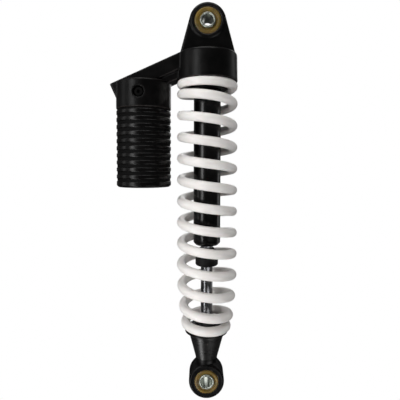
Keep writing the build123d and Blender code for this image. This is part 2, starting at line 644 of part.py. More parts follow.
def spring_points():
    """Points along the wire: down the -X side, across the front, up the +X side."""
    first = SPRING_LAY[0][0]
    last = SPRING_LAY[-1][0]
    count = int((last - first) * SPRING_POINTS_PER_TURN)
    points = []
    for step in range(count + 1):
        turn = first + (last - first) * step / count
        angle = math.pi + 2 * math.pi * turn
        radius = spring_radius(turn)
        points.append((radius * math.cos(angle), radius * math.sin(angle), spring_height(turn)))
    return points


def coil_spring():
    """Left-hand compression spring with closed, ground ends."""
    path = Spline(*spring_points())
    start = Plane(origin=path @ 0, z_dir=path % 0)
    wire = sweep(start * Circle(WIRE_RADIUS), path=path, transition=Transition.ROUND, is_frenet=True)
    wide = 2 * SPRING_OUTER_RADIUS
    wire = wire - rod_z(wide, CAP_BOTTOM, CAP_BOTTOM + 2 * WIRE_DIA)
    return wire - rod_z(wide, SPRING_BOTTOM - 2 * WIRE_DIA, SPRING_BOTTOM)


def lower_spring_seat():
    """Loose flange under the spring, with a collar that centres the last coil."""
    bore = PILOT_RADIUS + FREE_GAP
    top = SPRING_BOTTOM + SEAT_COLLAR_HEIGHT
    points = [
        (bore, SEAT_BOTTOM), (SEAT_RADIUS - SEAT_BEVEL, SEAT_BOTTOM),
        (SEAT_RADIUS, SEAT_BOTTOM + SEAT_BEVEL), (SEAT_RADIUS, SPRING_BOTTOM - SEAT_BEVEL),
        (SEAT_RADIUS - SEAT_BEVEL, SPRING_BOTTOM),
        (COLLAR_RADIUS, SPRING_BOTTOM), (COLLAR_RADIUS, top - SEAT_COLLAR_BEVEL),
        (COLLAR_RADIUS - SEAT_COLLAR_BEVEL, top), (bore, top),
    ]
    return turned(points)


# ---------------------------------------------------------------- lower mount
def lower_mount():
    """Lower end fitting: pilot, shoulder, cone, neck and eye."""
    stem = turned([
        (0, LOWER_EYE_Z), (LOWER_NECK_RADIUS, LOWER_EYE_Z), (LOWER_NECK_RADIUS, LOWER_CONE_BOTTOM),
        (SHOULDER_RADIUS, SEAT_BOTTOM - SHOULDER_HEIGHT), (SHOULDER_RADIUS, SEAT_BOTTOM),
        (PILOT_RADIUS, SEAT_BOTTOM), (PILOT_RADIUS, PILOT_TOP), (0, PILOT_TOP),
    ])
    half = LOWER_EYE_THICKNESS / 2
    soft = LOWER_EYE_BEVEL
    eye = across([
        (0, -half), (LOWER_EYE_RADIUS - soft, -half), (LOWER_EYE_RADIUS, -half + soft),
        (LOWER_EYE_RADIUS, half - soft), (LOWER_EYE_RADIUS - soft, half), (0, half),
    ], LOWER_EYE_Z)
    body = stem + eye
    body = body - bore_y(LOWER_BUSH_OD / 2 + SEAT_GAP, 2 * LOWER_EYE_THICKNESS, LOWER_EYE_Z)
    return body - rod_z(ROD_RADIUS + SEAT_GAP, ROD_BOTTOM - FREE_GAP, PILOT_TOP + CUT_OVERRUN)


# ------------------------------------------------------------------ reservoir
def rib_outline():
    """Outer corners of the ribbed wall, top to bottom."""
    outer = RESERVOIR_RADIUS
    floor = outer - GROOVE_DEPTH
    half = GROOVE_FLOOR / 2
    points = [(outer - GROOVE_CHAMFER, BAND_BOTTOM), (outer, BAND_BOTTOM - GROOVE_CHAMFER)]
    for index in range(1, RIB_COUNT + 1):
        middle = BAND_BOTTOM - index * RIB_PITCH
        points.append((outer, middle + half + GROOVE_CHAMFER))
        points.append((floor, middle + half))
        points.append((floor, middle - half))
        points.append((outer, middle - half - GROOVE_CHAMFER))
    points.append((outer, RESERVOIR_BOTTOM + RESERVOIR_BOTTOM_BEVEL))
    points.append((outer - RESERVOIR_BOTTOM_BEVEL, RESERVOIR_BOTTOM))
    return points


def reservoir_body():
    """Ribbed reservoir wall with a threaded neck and a circlip groove."""
    bore = RESERVOIR_BORE_RADIUS
    clip_top = END_CAP_BOTTOM - SEAT_GAP
    clip_low = clip_top - CLIP_THICKNESS - 2 * SEAT_GAP
    inside = [
        (bore, RESERVOIR_BOTTOM), (bore, clip_low), (bore + CLIP_GROOVE_DEPTH, clip_low),
        (bore + CLIP_GROOVE_DEPTH, clip_top), (bore, clip_top), (bore, NECK_TOP),
    ]
    neck = [
        (NECK_RADIUS - NECK_BEVEL, NECK_TOP), (NECK_RADIUS, NECK_TOP - NECK_BEVEL),
        (NECK_RADIUS, BAND_BOTTOM),
    ]
    wall = turned(inside + neck + rib_outline(), RESERVOIR_X)
    groove_top = NECK_TOP - NECK_CORD_DROP
    floor = NECK_RADIUS - CORD_DEPTH
    return wall - ring(NECK_RADIUS + CUT_OVERRUN, floor, groove_top - CORD_WIDTH, groove_top, RESERVOIR_X)


def reservoir_o_ring():
    """Seal round the reservoir neck."""
    inner = NECK_RADIUS - CORD_DEPTH + SEAT_GAP
    return cord_ring(NECK_RADIUS, inner, NECK_TOP - NECK_CORD_DROP, RESERVOIR_X)


def floating_piston():
    """Cup-shaped piston between oil above and gas below."""
    low = FLOAT_TOP - FLOAT_HEIGHT
    inner = FLOAT_RADIUS - FLOAT_SKIRT
    floor = FLOAT_RADIUS - CORD_DEPTH
    groove_low, groove_high = groove_about(FLOAT_TOP - FLOAT_HEIGHT / 2)
    points = [
        (0, FLOAT_TOP - FLOAT_CROWN), (inner, FLOAT_TOP - FLOAT_CROWN), (inner, low), (FLOAT_RADIUS, low),
        (FLOAT_RADIUS, groove_low), (floor, groove_low), (floor, groove_high), (FLOAT_RADIUS, groove_high),
        (FLOAT_RADIUS, FLOAT_TOP), (0, FLOAT_TOP),
    ]
    return turned(points, RESERVOIR_X)


def floating_piston_ring():
    """Seal ring in the floating piston's groove."""
    top = groove_about(FLOAT_TOP - FLOAT_HEIGHT / 2)[1]
    return cord_ring(FLOAT_RADIUS, FLOAT_RADIUS - CORD_DEPTH + SEAT_GAP, top, RESERVOIR_X)


def reservoir_end_cap():
    """Plug that closes the bottom of the reservoir, pocketed for the gas valve."""
    outer = RESERVOIR_BORE_RADIUS - SEAT_GAP
    floor = outer - CORD_DEPTH
    thread = VALVE_THREAD_RADIUS + SEAT_GAP
    bevel = END_CAP_BEVEL
    groove_low, groove_high = groove_about(END_CAP_MIDDLE)
    points = [
        (thread, END_CAP_TOP), (thread, VALVE_POCKET_TOP), (VALVE_POCKET_RADIUS, VALVE_POCKET_TOP),
        (VALVE_POCKET_RADIUS + bevel, END_CAP_BOTTOM), (outer - bevel, END_CAP_BOTTOM),
        (outer, END_CAP_BOTTOM + bevel), (outer, groove_low), (floor, groove_low), (floor, groove_high),
        (outer, groove_high), (outer, END_CAP_TOP - bevel), (outer - bevel, END_CAP_TOP),
    ]
    return turned(points, RESERVOIR_X)


def end_cap_o_ring():
    """Seal round the end cap."""
    outer = RESERVOIR_BORE_RADIUS - SEAT_GAP
    return cord_ring(outer, outer - CORD_DEPTH + SEAT_GAP, groove_about(END_CAP_MIDDLE)[1], RESERVOIR_X)


def reservoir_circlip():
    """Internal circlip, open on one side, with two eyes for pliers."""
    top = END_CAP_BOTTOM - 2 * SEAT_GAP
    middle = top - CLIP_THICKNESS / 2
    outer = RESERVOIR_BORE_RADIUS + CLIP_GROOVE_DEPTH - SEAT_GAP
    inner = RESERVOIR_BORE_RADIUS - CLIP_REACH
    clip = ring(outer, inner, top - CLIP_THICKNESS, top)
    clip = clip - Pos(0, -inner, middle) * Box(CLIP_OPENING, 2 * CLIP_OPENING, CLIP_OPENING)
    for side in (-1, 1):
        place = Pos(side * CLIP_EYE_X, CLIP_EYE_INSET - inner, middle)
        clip = clip + place * Cylinder(CLIP_EYE_RADIUS, CLIP_THICKNESS)
        clip = clip - place * Cylinder(CLIP_EYE_HOLE, CLIP_OPENING)
    return Pos(RESERVOIR_X, 0, 0) * clip


def gas_valve():
    """Filling valve screwed up into the end cap."""
    seat = VALVE_POCKET_TOP - 2 * SEAT_GAP
    tip = END_CAP_TOP + VALVE_TIP_LENGTH
    points = [
        (0, VALVE_STEM_LOW), (VALVE_STEM_RADIUS, VALVE_STEM_LOW),
        (VALVE_STEM_RADIUS, seat - VALVE_FLANGE[1]), (VALVE_FLANGE[0], seat - VALVE_FLANGE[1]),
        (VALVE_FLANGE[0], seat), (VALVE_THREAD_RADIUS, seat),
        (VALVE_THREAD_RADIUS, tip - VALVE_TIP_LENGTH / 2), (VALVE_TIP_RADIUS, tip), (0, tip),
    ]
    way = rod_z(VALVE_WAY_RADIUS, VALVE_STEM_LOW - CUT_OVERRUN, tip + CUT_OVERRUN, RESERVOIR_X)
    return turned(points, RESERVOIR_X) - way


def valve_cap():
    """Small screw cap over the gas valve."""
    top = VALVE_POCKET_TOP - VALVE_FLANGE[1] - FREE_GAP
    low = END_CAP_BOTTOM - VALVE_CAP_SHOW
    bore = VALVE_STEM_RADIUS + SEAT_GAP
    roof = low + VALVE_CAP_ROOF
    points = [
        (0, low), (VALVE_CAP_RADIUS - VALVE_CAP_BEVEL, low), (VALVE_CAP_RADIUS, low + VALVE_CAP_BEVEL),
        (VALVE_CAP_RADIUS, top), (bore, top), (bore, roof), (0, roof),
    ]
    return turned(points, RESERVOIR_X)


def passage_plug():
    """Socket-headed plug that closes the drilling at the end of the arm."""
    body = arm_bore(PLUG_RADIUS - SEAT_GAP, PLUG_SUNK, PLUG_LENGTH)
    x, z = arm_point(PLUG_SUNK, ARM_DEPTH / 2)
    socket = extrude(RegularPolygon(PLUG_SOCKET[0], 6, major_radius=False), PLUG_SOCKET[1])
    return body - Pos(x, 0, z) * Rot(Y=90 - ARM_ANGLE) * socket


def bleed_screw():
    """Socket-headed screw in the front recess of the reservoir band."""
    crown_y = BLEED_FLOOR_Y - BLEED_HEAD_HEIGHT
    body = drill_y(BLEED_SHANK_RADIUS, BLEED_FLOOR_Y - FREE_GAP, BLEED_FLOOR_Y + BLEED_SHANK_LENGTH)
    body = body + drill_y(BLEED_HEAD_RADIUS, crown_y, BLEED_FLOOR_Y - SEAT_GAP)
    socket = extrude(RegularPolygon(BLEED_SOCKET[0], 6, major_radius=False), BLEED_SOCKET[1])
    return body - Pos(BLEED_X, crown_y, BLEED_Z) * Rot(X=-90) * socket


# --------------------------------------------------------------------- export
def build_parts():
    """Every piece of the shock by node name."""
    top_half = LUG_THICKNESS / 2 + BOSS_PROUD - TOP_BUSH_SUNK
    lower_half = LOWER_EYE_THICKNESS / 2 + LOWER_BUSH_PROUD
    return {
        "head_casting": head_casting(),
        "top_bush": eye_bush(TOP_BUSH_OD / 2, top_half, 0.0),
        "top_sleeve": eye_sleeve(0.0),
        "damper_tube": damper_tube(),
        "tube_o_ring": tube_o_ring(),
        "rod_guide": rod_guide(),
        "guide_o_ring": guide_o_ring(),
        "oil_seal": oil_seal(),
        "gland_nut": gland_nut(),
        "dust_wiper": dust_wiper(),
        "topout_bumper": topout_bumper(),
        "piston": piston(),
        "piston_band": piston_band(),
        "compression_shims": shim_stack(PISTON_TOP, False),
        "rebound_shims": shim_stack(PISTON_BOTTOM - SHIM_THICKNESS, True),
        "piston_nut": hex_nut(ROD_TAIL_RADIUS, PISTON_NUT_CROWN, PISTON_NUT_LOW, PISTON_NUT_HEIGHT),
        "piston_rod": piston_rod(),
        "bump_stop": bump_stop(),
        "coil_spring": coil_spring(),
        "lower_spring_seat": lower_spring_seat(),
        "lock_nut": hex_nut(ROD_RADIUS, LOCK_NUT_CROWN, PILOT_TOP, LOCK_NUT_HEIGHT),
        "lower_mount": lower_mount(),
        "lower_bush": eye_bush(LOWER_BUSH_OD / 2, lower_half, LOWER_EYE_Z),
        "lower_sleeve": eye_sleeve(LOWER_EYE_Z),
        "reservoir_body": reservoir_body(),
        "reservoir_o_ring": reservoir_o_ring(),
        "floating_piston": floating_piston(),
        "floating_piston_ring": floating_piston_ring(),
        "reservoir_end_cap": reservoir_end_cap(),
        "end_cap_o_ring": end_cap_o_ring(),
        "reservoir_circlip": reservoir_circlip(),
        "gas_valve": gas_valve(),
        "valve_cap": valve_cap(),
        "passage_plug": passage_plug(),
        "bleed_screw": bleed_screw(),
    }


def main():
    """Write one STEP file per piece."""
    os.makedirs("parts", exist_ok=True)
    for name, solid in build_parts().items():
        export_step(solid, os.path.join("parts", name + ".step"))


main()
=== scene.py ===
"""Rear shock: the visual model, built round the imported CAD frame.

Every mesh is in metres in the row frame: origin at the centre of the top eye, +Z up along the
damper, eye bores along Y and the reservoir on the -X side.
"""
import json
import logging
import math
from dataclasses import dataclass, field
from enum import Enum
from typing import Optional, Sequence

import bmesh
import bpy
import numpy as np
from mathutils import Euler, Matrix, Vector


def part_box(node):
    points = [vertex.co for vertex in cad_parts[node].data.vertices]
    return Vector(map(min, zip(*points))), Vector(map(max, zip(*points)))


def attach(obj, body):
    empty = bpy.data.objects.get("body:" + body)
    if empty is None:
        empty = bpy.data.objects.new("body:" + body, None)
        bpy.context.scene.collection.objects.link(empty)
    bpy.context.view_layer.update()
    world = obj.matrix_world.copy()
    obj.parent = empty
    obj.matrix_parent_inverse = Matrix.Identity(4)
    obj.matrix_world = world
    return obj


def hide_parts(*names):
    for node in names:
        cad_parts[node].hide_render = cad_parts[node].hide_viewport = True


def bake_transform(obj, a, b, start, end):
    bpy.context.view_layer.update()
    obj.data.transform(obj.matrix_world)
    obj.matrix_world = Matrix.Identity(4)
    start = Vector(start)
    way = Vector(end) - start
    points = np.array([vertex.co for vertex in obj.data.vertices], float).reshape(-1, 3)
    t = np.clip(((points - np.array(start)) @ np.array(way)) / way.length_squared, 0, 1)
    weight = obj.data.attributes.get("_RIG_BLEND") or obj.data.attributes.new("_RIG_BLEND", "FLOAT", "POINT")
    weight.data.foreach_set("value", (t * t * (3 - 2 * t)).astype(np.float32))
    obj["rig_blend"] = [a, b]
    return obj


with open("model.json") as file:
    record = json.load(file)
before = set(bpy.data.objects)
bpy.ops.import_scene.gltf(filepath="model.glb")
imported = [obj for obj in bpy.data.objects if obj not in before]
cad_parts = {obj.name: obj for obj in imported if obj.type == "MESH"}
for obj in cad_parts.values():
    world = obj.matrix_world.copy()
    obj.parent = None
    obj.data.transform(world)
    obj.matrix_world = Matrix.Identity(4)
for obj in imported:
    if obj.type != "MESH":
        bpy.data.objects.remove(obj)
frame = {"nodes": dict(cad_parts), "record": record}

LOG = logging.getLogger("rear_shock")
MM = 0.001
WAVE_PERIOD = math.pi / 10      # length of one band of the wave texture at a scale of one
TINY = 1e-7                     # metres; anything shorter counts as nothing
WELD = 1e-6                     # metres; points closer than this are joined
CORNER_SHARE = 0.4              # most of a short edge that the rounding beside it may take
HOLD_SHARE = 0.3                # a holding point stands this far from its arc, as a share of the cut
HOLD_LIMIT = 0.2                # and never further than this share of the room beside it
SENSOR_WIDTH_MM = 36.0
LOOK_HEIGHT = -165.0 * MM       # half way between the eyes
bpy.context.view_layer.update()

Pair = tuple[float, float]
Colour = tuple[float, float, float, float]


class Axis(Enum):
    """The line a turned piece is turned about."""

    DAMPER = "damper"
    EYE = "eye"


# ------------------------------------------------------------------ node helpers
def linear(hex_colour: str) -> Colour:
    """Turn an sRGB hex colour into linear values.

    Args:
        hex_colour: Six hex digits, with or without a leading hash.

    Returns:
        Red, green, blue and an alpha of one, all linear.
    """
    digits = hex_colour.lstrip("#")
    values = []
    for start in (0, 2, 4):
        share = int(digits[start:start + 2], 16) / 255
        values.append(share / 12.92 if share <= 0.04045 else ((share + 0.055) / 1.055) ** 2.4)
    return (values[0], values[1], values[2], 1.0)


def per_mm(size_mm: float) -> float:
    """Texture scale on Object coordinates that repeats about every size_mm millimetres."""
    return 1.0 / (size_mm * MM)


def add_node(
    tree: bpy.types.NodeTree,
    kind: str,
    settings: Optional[dict[str, object]] = None,
    inputs: Optional[dict[str | int, object]] = None,
) -> bpy.types.Node:
    """Add a node with its settings, input values and incoming links.

    Args:
        tree: The tree that gets the node.
        kind: The node's Blender type name.
        settings: Attribute names and values.
        inputs: Socket names or indices, each with a value or with the output socket to link.

    Returns:
        The new node.
    """
    node = tree.nodes.new(kind)
    for name, value in (settings or {}).items():
        setattr(node, name, value)
    for key, value in (inputs or {}).items():
        socket = node.inputs[key]
        if isinstance(value, bpy.types.NodeSocket):
            tree.links.new(value, socket)
        else:
            socket.default_value = value
    return node


def colour_ramp(node: bpy.types.Node, stops: Sequence[tuple[float, Colour]]) -> None:
    """Give a colour ramp its stops.

    Args:
        node: The colour ramp node, fresh, with its two stops.
        stops: Place and colour of each stop, in rising order.
    """
    elements = node.color_ramp.elements
    while len(elements) < len(stops):
        elements.new(0.5)
    for element, (place, colour) in zip(elements, stops):
        element.position = place
        element.color = colour


# ---------------------------------------------------------------------- finishes
@dataclass(frozen=True)
class Finish:
    """A surface finish: how a real material and its making look.

    Two layers of noise, one broad and one fine, vary the colour and roughness and raise a
    bump, each at a size in millimetres. An edge colour is a painted highlight on the outer edges: it
    comes in as pointiness and grain together pass from edge_start to edge_end. The lathe sizes are the
    pitch and depth of turning rings round the Z axis.
    """

    name: str
    dark: str
    light: str
    metallic: float = 0.0
    rough_low: float = 0.4
    rough_high: float = 0.5
    ior: float = 1.5
    broad_mm: float = 12.0
    fine_mm: float = 0.8
    bump_mm: float = 0.02
    bump_strength: float = 0.4
    stretch: tuple[float, float, float] = (1.0, 1.0, 1.0)
    specular: float = 0.5
    subsurface: float = 0.0
    subsurface_mm: float = 1.5
    edge: str = ""
    edge_start: float = 0.55
    edge_end: float = 0.62
    lathe_mm: float = 0.0
    lathe_depth_mm: float = 0.0
    broad_detail: float = 3.0
    fine_detail: float = 4.0
    broad_breakup: float = 0.55
    fine_breakup: float = 0.6
    tint_low: float = 0.35
    tint_high: float = 0.65
    fine_share: float = 0.5
    mixed_low: float = 0.5
    mixed_high: float = 1.0
    edge_grain: float = 0.06

    def material(self) -> bpy.types.Material:
        """Build the material once and give the same one after that."""
        known = bpy.data.materials.get(self.name)
        if known is not None:
            return known
        material = bpy.data.materials.new(self.name)
        material.use_nodes = True
        tree = material.node_tree
        tree.nodes.clear()
        where = add_node(tree, "ShaderNodeTexCoord")
        place = add_node(tree, "ShaderNodeMapping", inputs={
            "Vector": where.outputs["Object"], "Scale": self.stretch})
        broad = add_node(tree, "ShaderNodeTexNoise", inputs={
            "Vector": place.outputs["Vector"], "Scale": per_mm(self.broad_mm),
            "Detail": self.broad_detail, "Roughness": self.broad_breakup})
        fine = add_node(tree, "ShaderNodeTexNoise", inputs={
            "Vector": place.outputs["Vector"], "Scale": per_mm(self.fine_mm),
            "Detail": self.fine_detail, "Roughness": self.fine_breakup})
        tint = add_node(tree, "ShaderNodeValToRGB", inputs={"Fac": broad.outputs["Fac"]})
        colour_ramp(tint, [(self.tint_low, linear(self.dark)), (self.tint_high, linear(self.light))])
        colour = tint.outputs["Color"]
        # The edge colour paints a highlight along the outer edges.
        if self.edge:
            colour = self.painted_edge_highlight(tree, colour, fine.outputs["Fac"])
        mixed = add_node(tree, "ShaderNodeMath", {"operation": "MULTIPLY_ADD"}, {
            0: fine.outputs["Fac"], 1: self.fine_share, 2: broad.outputs["Fac"]})
        rough = add_node(tree, "ShaderNodeMapRange", inputs={
            "Value": mixed.outputs[0], "From Min": self.mixed_low, "From Max": self.mixed_high,
            "To Min": self.rough_low, "To Max": self.rough_high})
        bump = add_node(tree, "ShaderNodeBump", inputs={
            "Height": fine.outputs["Fac"], "Strength": self.bump_strength,
            "Distance": self.bump_mm * MM})
        if self.lathe_mm:
            bump = self.turning_lines(tree, where.outputs["Object"], bump.outputs["Normal"])
        shader = add_node(tree, "ShaderNodeBsdfPrincipled", inputs={
            "Base Color": colour, "Metallic": self.metallic, "Roughness": rough.outputs["Result"],
            "Normal": bump.outputs["Normal"]})
        if not self.metallic:
            shader.inputs["IOR"].default_value = self.ior
            shader.inputs["Specular IOR Level"].default_value = self.specular
        shader.inputs["Subsurface Weight"].default_value = self.subsurface
        shader.inputs["Subsurface Scale"].default_value = self.subsurface_mm * MM
        add_node(tree, "ShaderNodeOutputMaterial", inputs={"Surface": shader.outputs["BSDF"]})
        return material

    def turning_lines(
        self, tree: bpy.types.NodeTree, position: bpy.types.NodeSocket, normal: bpy.types.NodeSocket
    ) -> bpy.types.Node:
        """Raise fine rings round the Z axis, as a lathe tool leaves them.

        Args:
            tree: The material's tree.
            position: Object coordinates.
            normal: The surface normal with its grain.

        Returns:
            The bump node with both.
        """
        rings = add_node(tree, "ShaderNodeTexWave", {"bands_direction": "Z"}, {
            "Vector": position, "Scale": WAVE_PERIOD / (self.lathe_mm * MM), "Distortion": 0.0})
        return add_node(tree, "ShaderNodeBump", inputs={
            "Height": rings.outputs["Fac"], "Strength": 1.0, "Distance": self.lathe_depth_mm * MM,
            "Normal": normal})

    def painted_edge_highlight(
        self, tree: bpy.types.NodeTree, colour: bpy.types.NodeSocket, grain: bpy.types.NodeSocket
    ) -> bpy.types.NodeSocket:
        """Paint a highlight on the outer edges, broken up by the grain.

        Args:
            tree: The material's tree.
            colour: Colour away from the edges.
            grain: Fine noise that breaks the painted highlight up.

        Returns:
            The colour with its painted edge highlight.
        """
        shape = add_node(tree, "ShaderNodeNewGeometry")
        broken = add_node(tree, "ShaderNodeMath", {"operation": "MULTIPLY_ADD"}, {
            0: grain, 1: self.edge_grain, 2: shape.outputs["Pointiness"]})
        share = add_node(tree, "ShaderNodeMapRange", inputs={
            "Value": broken.outputs[0], "From Min": self.edge_start, "From Max": self.edge_end})
        mix = add_node(tree, "ShaderNodeMix", {"data_type": "RGBA"}, {
            0: share.outputs["Result"], 6: colour, 7: linear(self.edge)})
        return mix.outputs[2]


# Satin black paint sprayed over die-cast aluminium: a soft grain from the casting under a thin film.
# Its lighter edge colour paints a highlight along the rounded edges.
CAST_PAINT = Finish(
    "painted_cast_aluminium", "#030303", "#070606", rough_low=0.3, rough_high=0.42, broad_mm=9.0,
    fine_mm=0.9, bump_mm=0.04, bump_strength=0.5, specular=0.14, edge="#3a3533",
    edge_start=0.548, edge_end=0.585,
)
# The casting paint a shade darker, without its painted edge highlight: painted shade in the small recess
# round the bleed screw.
RECESS_SHADE_PAINT = Finish(
    "casting_paint_with_painted_recess_shade", "#020202", "#040404", rough_low=0.4, rough_high=0.5, broad_mm=9.0,
    fine_mm=0.9, bump_mm=0.04, bump_strength=0.5, specular=0.14,
)
# Black anodised machined aluminium: smoother than the casting, with faint tool marks round it.
RIB_BLACK = Finish(
    "black_anodised_aluminium", "#030202", "#060505", rough_low=0.22, rough_high=0.32, broad_mm=14.0,
    fine_mm=0.5, bump_mm=0.02, bump_strength=0.3, stretch=(1.0, 1.0, 3.0), specular=0.22,
)
# Groove floors darker and far duller than the ribs, so they give back almost no light: painted shade in the
# grooves.
GROOVE_SHADE_BLACK = Finish(
    "groove_floor_painted_shade", "#020202", "#050404", rough_low=0.6, rough_high=0.75, broad_mm=10.0,
    fine_mm=0.4, bump_mm=0.02, bump_strength=0.3, specular=0.1,
)
# Black enamel over a turned cone: shinier than the casting, with turning lines round it, drawn
# coarser than real ones.
# Its lighter edge colour paints a highlight along the rounded edges too.
TURNED_BLACK = Finish(
    "black_enamel_on_turned_cone", "#080707", "#0e0c0b", rough_low=0.24, rough_high=0.36, broad_mm=7.0,
    fine_mm=0.7, bump_mm=0.02, bump_strength=0.3, stretch=(0.15, 0.15, 2.0), specular=0.5, edge="#4a4441",
    lathe_mm=1.1, lathe_depth_mm=0.07,
)
# Gloss black stoving enamel on a drawn steel tube: a deep, nearly even shine.
TUBE_ENAMEL = Finish(
    "gloss_black_enamel", "#040404", "#070606", rough_low=0.2, rough_high=0.28, broad_mm=18.0,
    fine_mm=1.6, bump_mm=0.01, bump_strength=0.25, specular=0.35,
)
# White powder coat on spring steel: satin, with the slight orange peel of baked powder.
POWDER_WHITE = Finish(
    "white_powder_coat", "#efebe7", "#f6f3f0", rough_low=0.3, rough_high=0.42, broad_mm=16.0,
    fine_mm=1.4, bump_mm=0.03, bump_strength=0.35, subsurface=0.02,
)
# Hard chrome on a ground rod: a mirror with grinding lines round it that draw reflections out into
# upright streaks. The lines are drawn coarser than real ones.
# Its grey is darker than real chrome: painted shade, standing in for the dark surroundings it mirrors.
HARD_CHROME = Finish(
    "hard_chrome", "#747578", "#848588", metallic=1.0, rough_low=0.05, rough_high=0.1, broad_mm=20.0,
    fine_mm=0.4, bump_mm=0.002, bump_strength=0.2, stretch=(0.2, 0.2, 3.0), lathe_mm=0.4,
    lathe_depth_mm=0.025,
)
# Bright zinc plate on turned steel: pale grey with a green and yellow cast.
ZINC_PLATE = Finish(
    "zinc_plated_steel", "#a4aba2", "#ccd0c6", metallic=1.0, rough_low=0.26, rough_high=0.4,
    broad_mm=3.0, fine_mm=0.5, bump_mm=0.004, bump_strength=0.2,
)
# Cast urethane: amber, waxy, a little light goes into it.
AMBER_URETHANE = Finish(
    "amber_urethane", "#554413", "#7a611e", rough_low=0.38, rough_high=0.5, broad_mm=6.0,
    fine_mm=0.8, bump_mm=0.02, bump_strength=0.3, subsurface=0.15,
)
# Moulded black rubber: matt with a faint bloom.
MOULDED_RUBBER = Finish(
    "moulded_black_rubber", "#060606", "#0d0c0c", rough_low=0.55, rough_high=0.72, broad_mm=5.0,
    fine_mm=0.6, bump_mm=0.02, bump_strength=0.4, ior=1.52, specular=0.3,
)
# Oiled plain steel fastener: grey, with turning marks.
PLAIN_STEEL = Finish(
    "oiled_plain_steel", "#6f7073", "#8e8f92", metallic=1.0, rough_low=0.3, rough_high=0.42,
    broad_mm=4.0, fine_mm=0.3, bump_mm=0.005, bump_strength=0.3,
)
# Blackened steel screw, slightly oily.
BLACK_STEEL = Finish(
    "blackened_steel", "#050505", "#090808", rough_low=0.45, rough_high=0.6,
    broad_mm=4.0, fine_mm=0.3, bump_mm=0.006, bump_strength=0.3, specular=0.1,
)
# Turned aluminium, bare: bright and fine-lined.
TURNED_ALUMINIUM = Finish(
    "turned_aluminium", "#b9babd", "#cfd0d2", metallic=1.0, rough_low=0.25, rough_high=0.35,
    broad_mm=8.0, fine_mm=0.3, bump_mm=0.004, bump_strength=0.3, stretch=(0.3, 0.3, 3.0),
)
# Sintered bronze bush or brass valve: warm and a little dull.
BRONZE = Finish(
    "sintered_bronze", "#8a6a3c", "#a8834c", metallic=1.0, rough_low=0.32, rough_high=0.45,
    broad_mm=4.0, fine_mm=0.3, bump_mm=0.006, bump_strength=0.3,
)
# Filled low-friction plastic: dark brown and matt.
FILLED_PLASTIC = Finish(
    "filled_low_friction_plastic", "#2a231c", "#382f26", rough_low=0.45, rough_high=0.6, broad_mm=4.0,
    fine_mm=0.5, bump_mm=0.01, bump_strength=0.3,
)

CAD_FINISHES: dict[str, Finish] = {
    "black_casting": CAST_PAINT,
    "black_anodised": RIB_BLACK,
    "black_tube": TUBE_ENAMEL,
    "white_spring": POWDER_WHITE,
    "chrome_rod": HARD_CHROME,
    "zinc_steel": ZINC_PLATE,
    "plain_steel": PLAIN_STEEL,
    "seat_steel": CAST_PAINT,
    "urethane": AMBER_URETHANE,
    "black_rubber": MOULDED_RUBBER,
    "bare_aluminium": TURNED_ALUMINIUM,
    "bronze": BRONZE,
    "band_plastic": FILLED_PLASTIC,
}


# ------------------------------------------------------------------ mesh helpers
def rounded(corners: Sequence[Pair], radius: float, steps: int = 4) -> list[Pair]:
    """Round the corners of a closed outline, with a holding point beside each arc.

    Args:
        corners: Radius and height of each corner, in order round the outline.
        radius: Size of the rounding, cut down where an edge is short.
        steps: Facets of each arc.

    Returns:
        The outline's points, in the same order.
    """
    result: list[Pair] = []
    count = len(corners)
    for index, corner in enumerate(corners):
        here = Vector(corner)
        back = Vector(corners[index - 1]) - here
        ahead = Vector(corners[(index + 1) % count]) - here
        if min(here.x, back.length, ahead.length) < TINY:
            result.append((here.x, here.y))
            continue
        room = min(back.length, ahead.length) * CORNER_SHARE
        cut = min(radius, room)
        first = here + back.normalized() * cut
        last = here + ahead.normalized() * cut
        hold = min(cut * HOLD_SHARE, room * HOLD_LIMIT)
        result.append(tuple(first + back.normalized() * hold))
        for step in range(steps + 1):
            share = step / steps
            result.append(tuple(first.lerp(here, share).lerp(here.lerp(last, share), share)))
        result.append(tuple(last + ahead.normalized() * hold))
    return result


def turned_mesh(
    name: str,
    outline: Sequence[Pair],
    centre: tuple[float, float, float] = (0.0, 0.0, 0.0),
    axis: Axis = Axis.DAMPER,
    segments: int = 96,
) -> bpy.types.Mesh:
    """Turn a closed outline into a solid of revolution.

    Args:
        name: Name of the mesh.
        outline: Radius and distance along the axis of each point, in metres.
        centre: Point of the axis that distances count from.
        axis: The line to turn about.
        segments: Facets round the axis.

    Returns:
        A closed mesh with its faces pointing outwards.
    """
    shape = bmesh.new()
    rings: list[list[bmesh.types.BMVert]] = []
    for radius, along in outline:
        if radius < TINY:
            rings.append([shape.verts.new((0.0, 0.0, along))])
            continue
        ring = []
        for segment in range(segments):
            angle = 2 * math.pi * segment / segments
            ring.append(shape.verts.new((radius * math.cos(angle), radius * math.sin(angle), along)))
        rings.append(ring)
    for index, ring in enumerate(rings):
        following = rings[(index + 1) % len(rings)]
        if len(ring) == 1 and len(following) == 1:
            continue
        for segment in range(segments):
            after = (segment + 1) % segments
            corners = [
                ring[segment % len(ring)], ring[after % len(ring)],
                following[after % len(following)], following[segment % len(following)],
            ]
            unique = list(dict.fromkeys(corners))
            if len(unique) > 2:
                shape.faces.new(unique)
    turn = Euler((math.pi / 2, 0.0, 0.0)).to_matrix().to_4x4() if axis is Axis.EYE else Matrix()
    bmesh.ops.transform(shape, matrix=Matrix.Translation(centre) @ turn, verts=shape.verts)
    bmesh.ops.recalc_face_normals(shape, faces=shape.faces)
    mesh = bpy.data.meshes.new(name)
    shape.to_mesh(mesh)
    shape.free()
    mesh.shade_smooth()
    return mesh


def show(name: str, mesh: bpy.types.Mesh, finish: Finish) -> bpy.types.Object:
    """Link a mesh to the scene as an object in one finish."""
    piece = bpy.data.objects.new(name, mesh)
    bpy.context.scene.collection.objects.link(piece)
    mesh.materials.clear()
    mesh.materials.append(finish.material())
    return piece


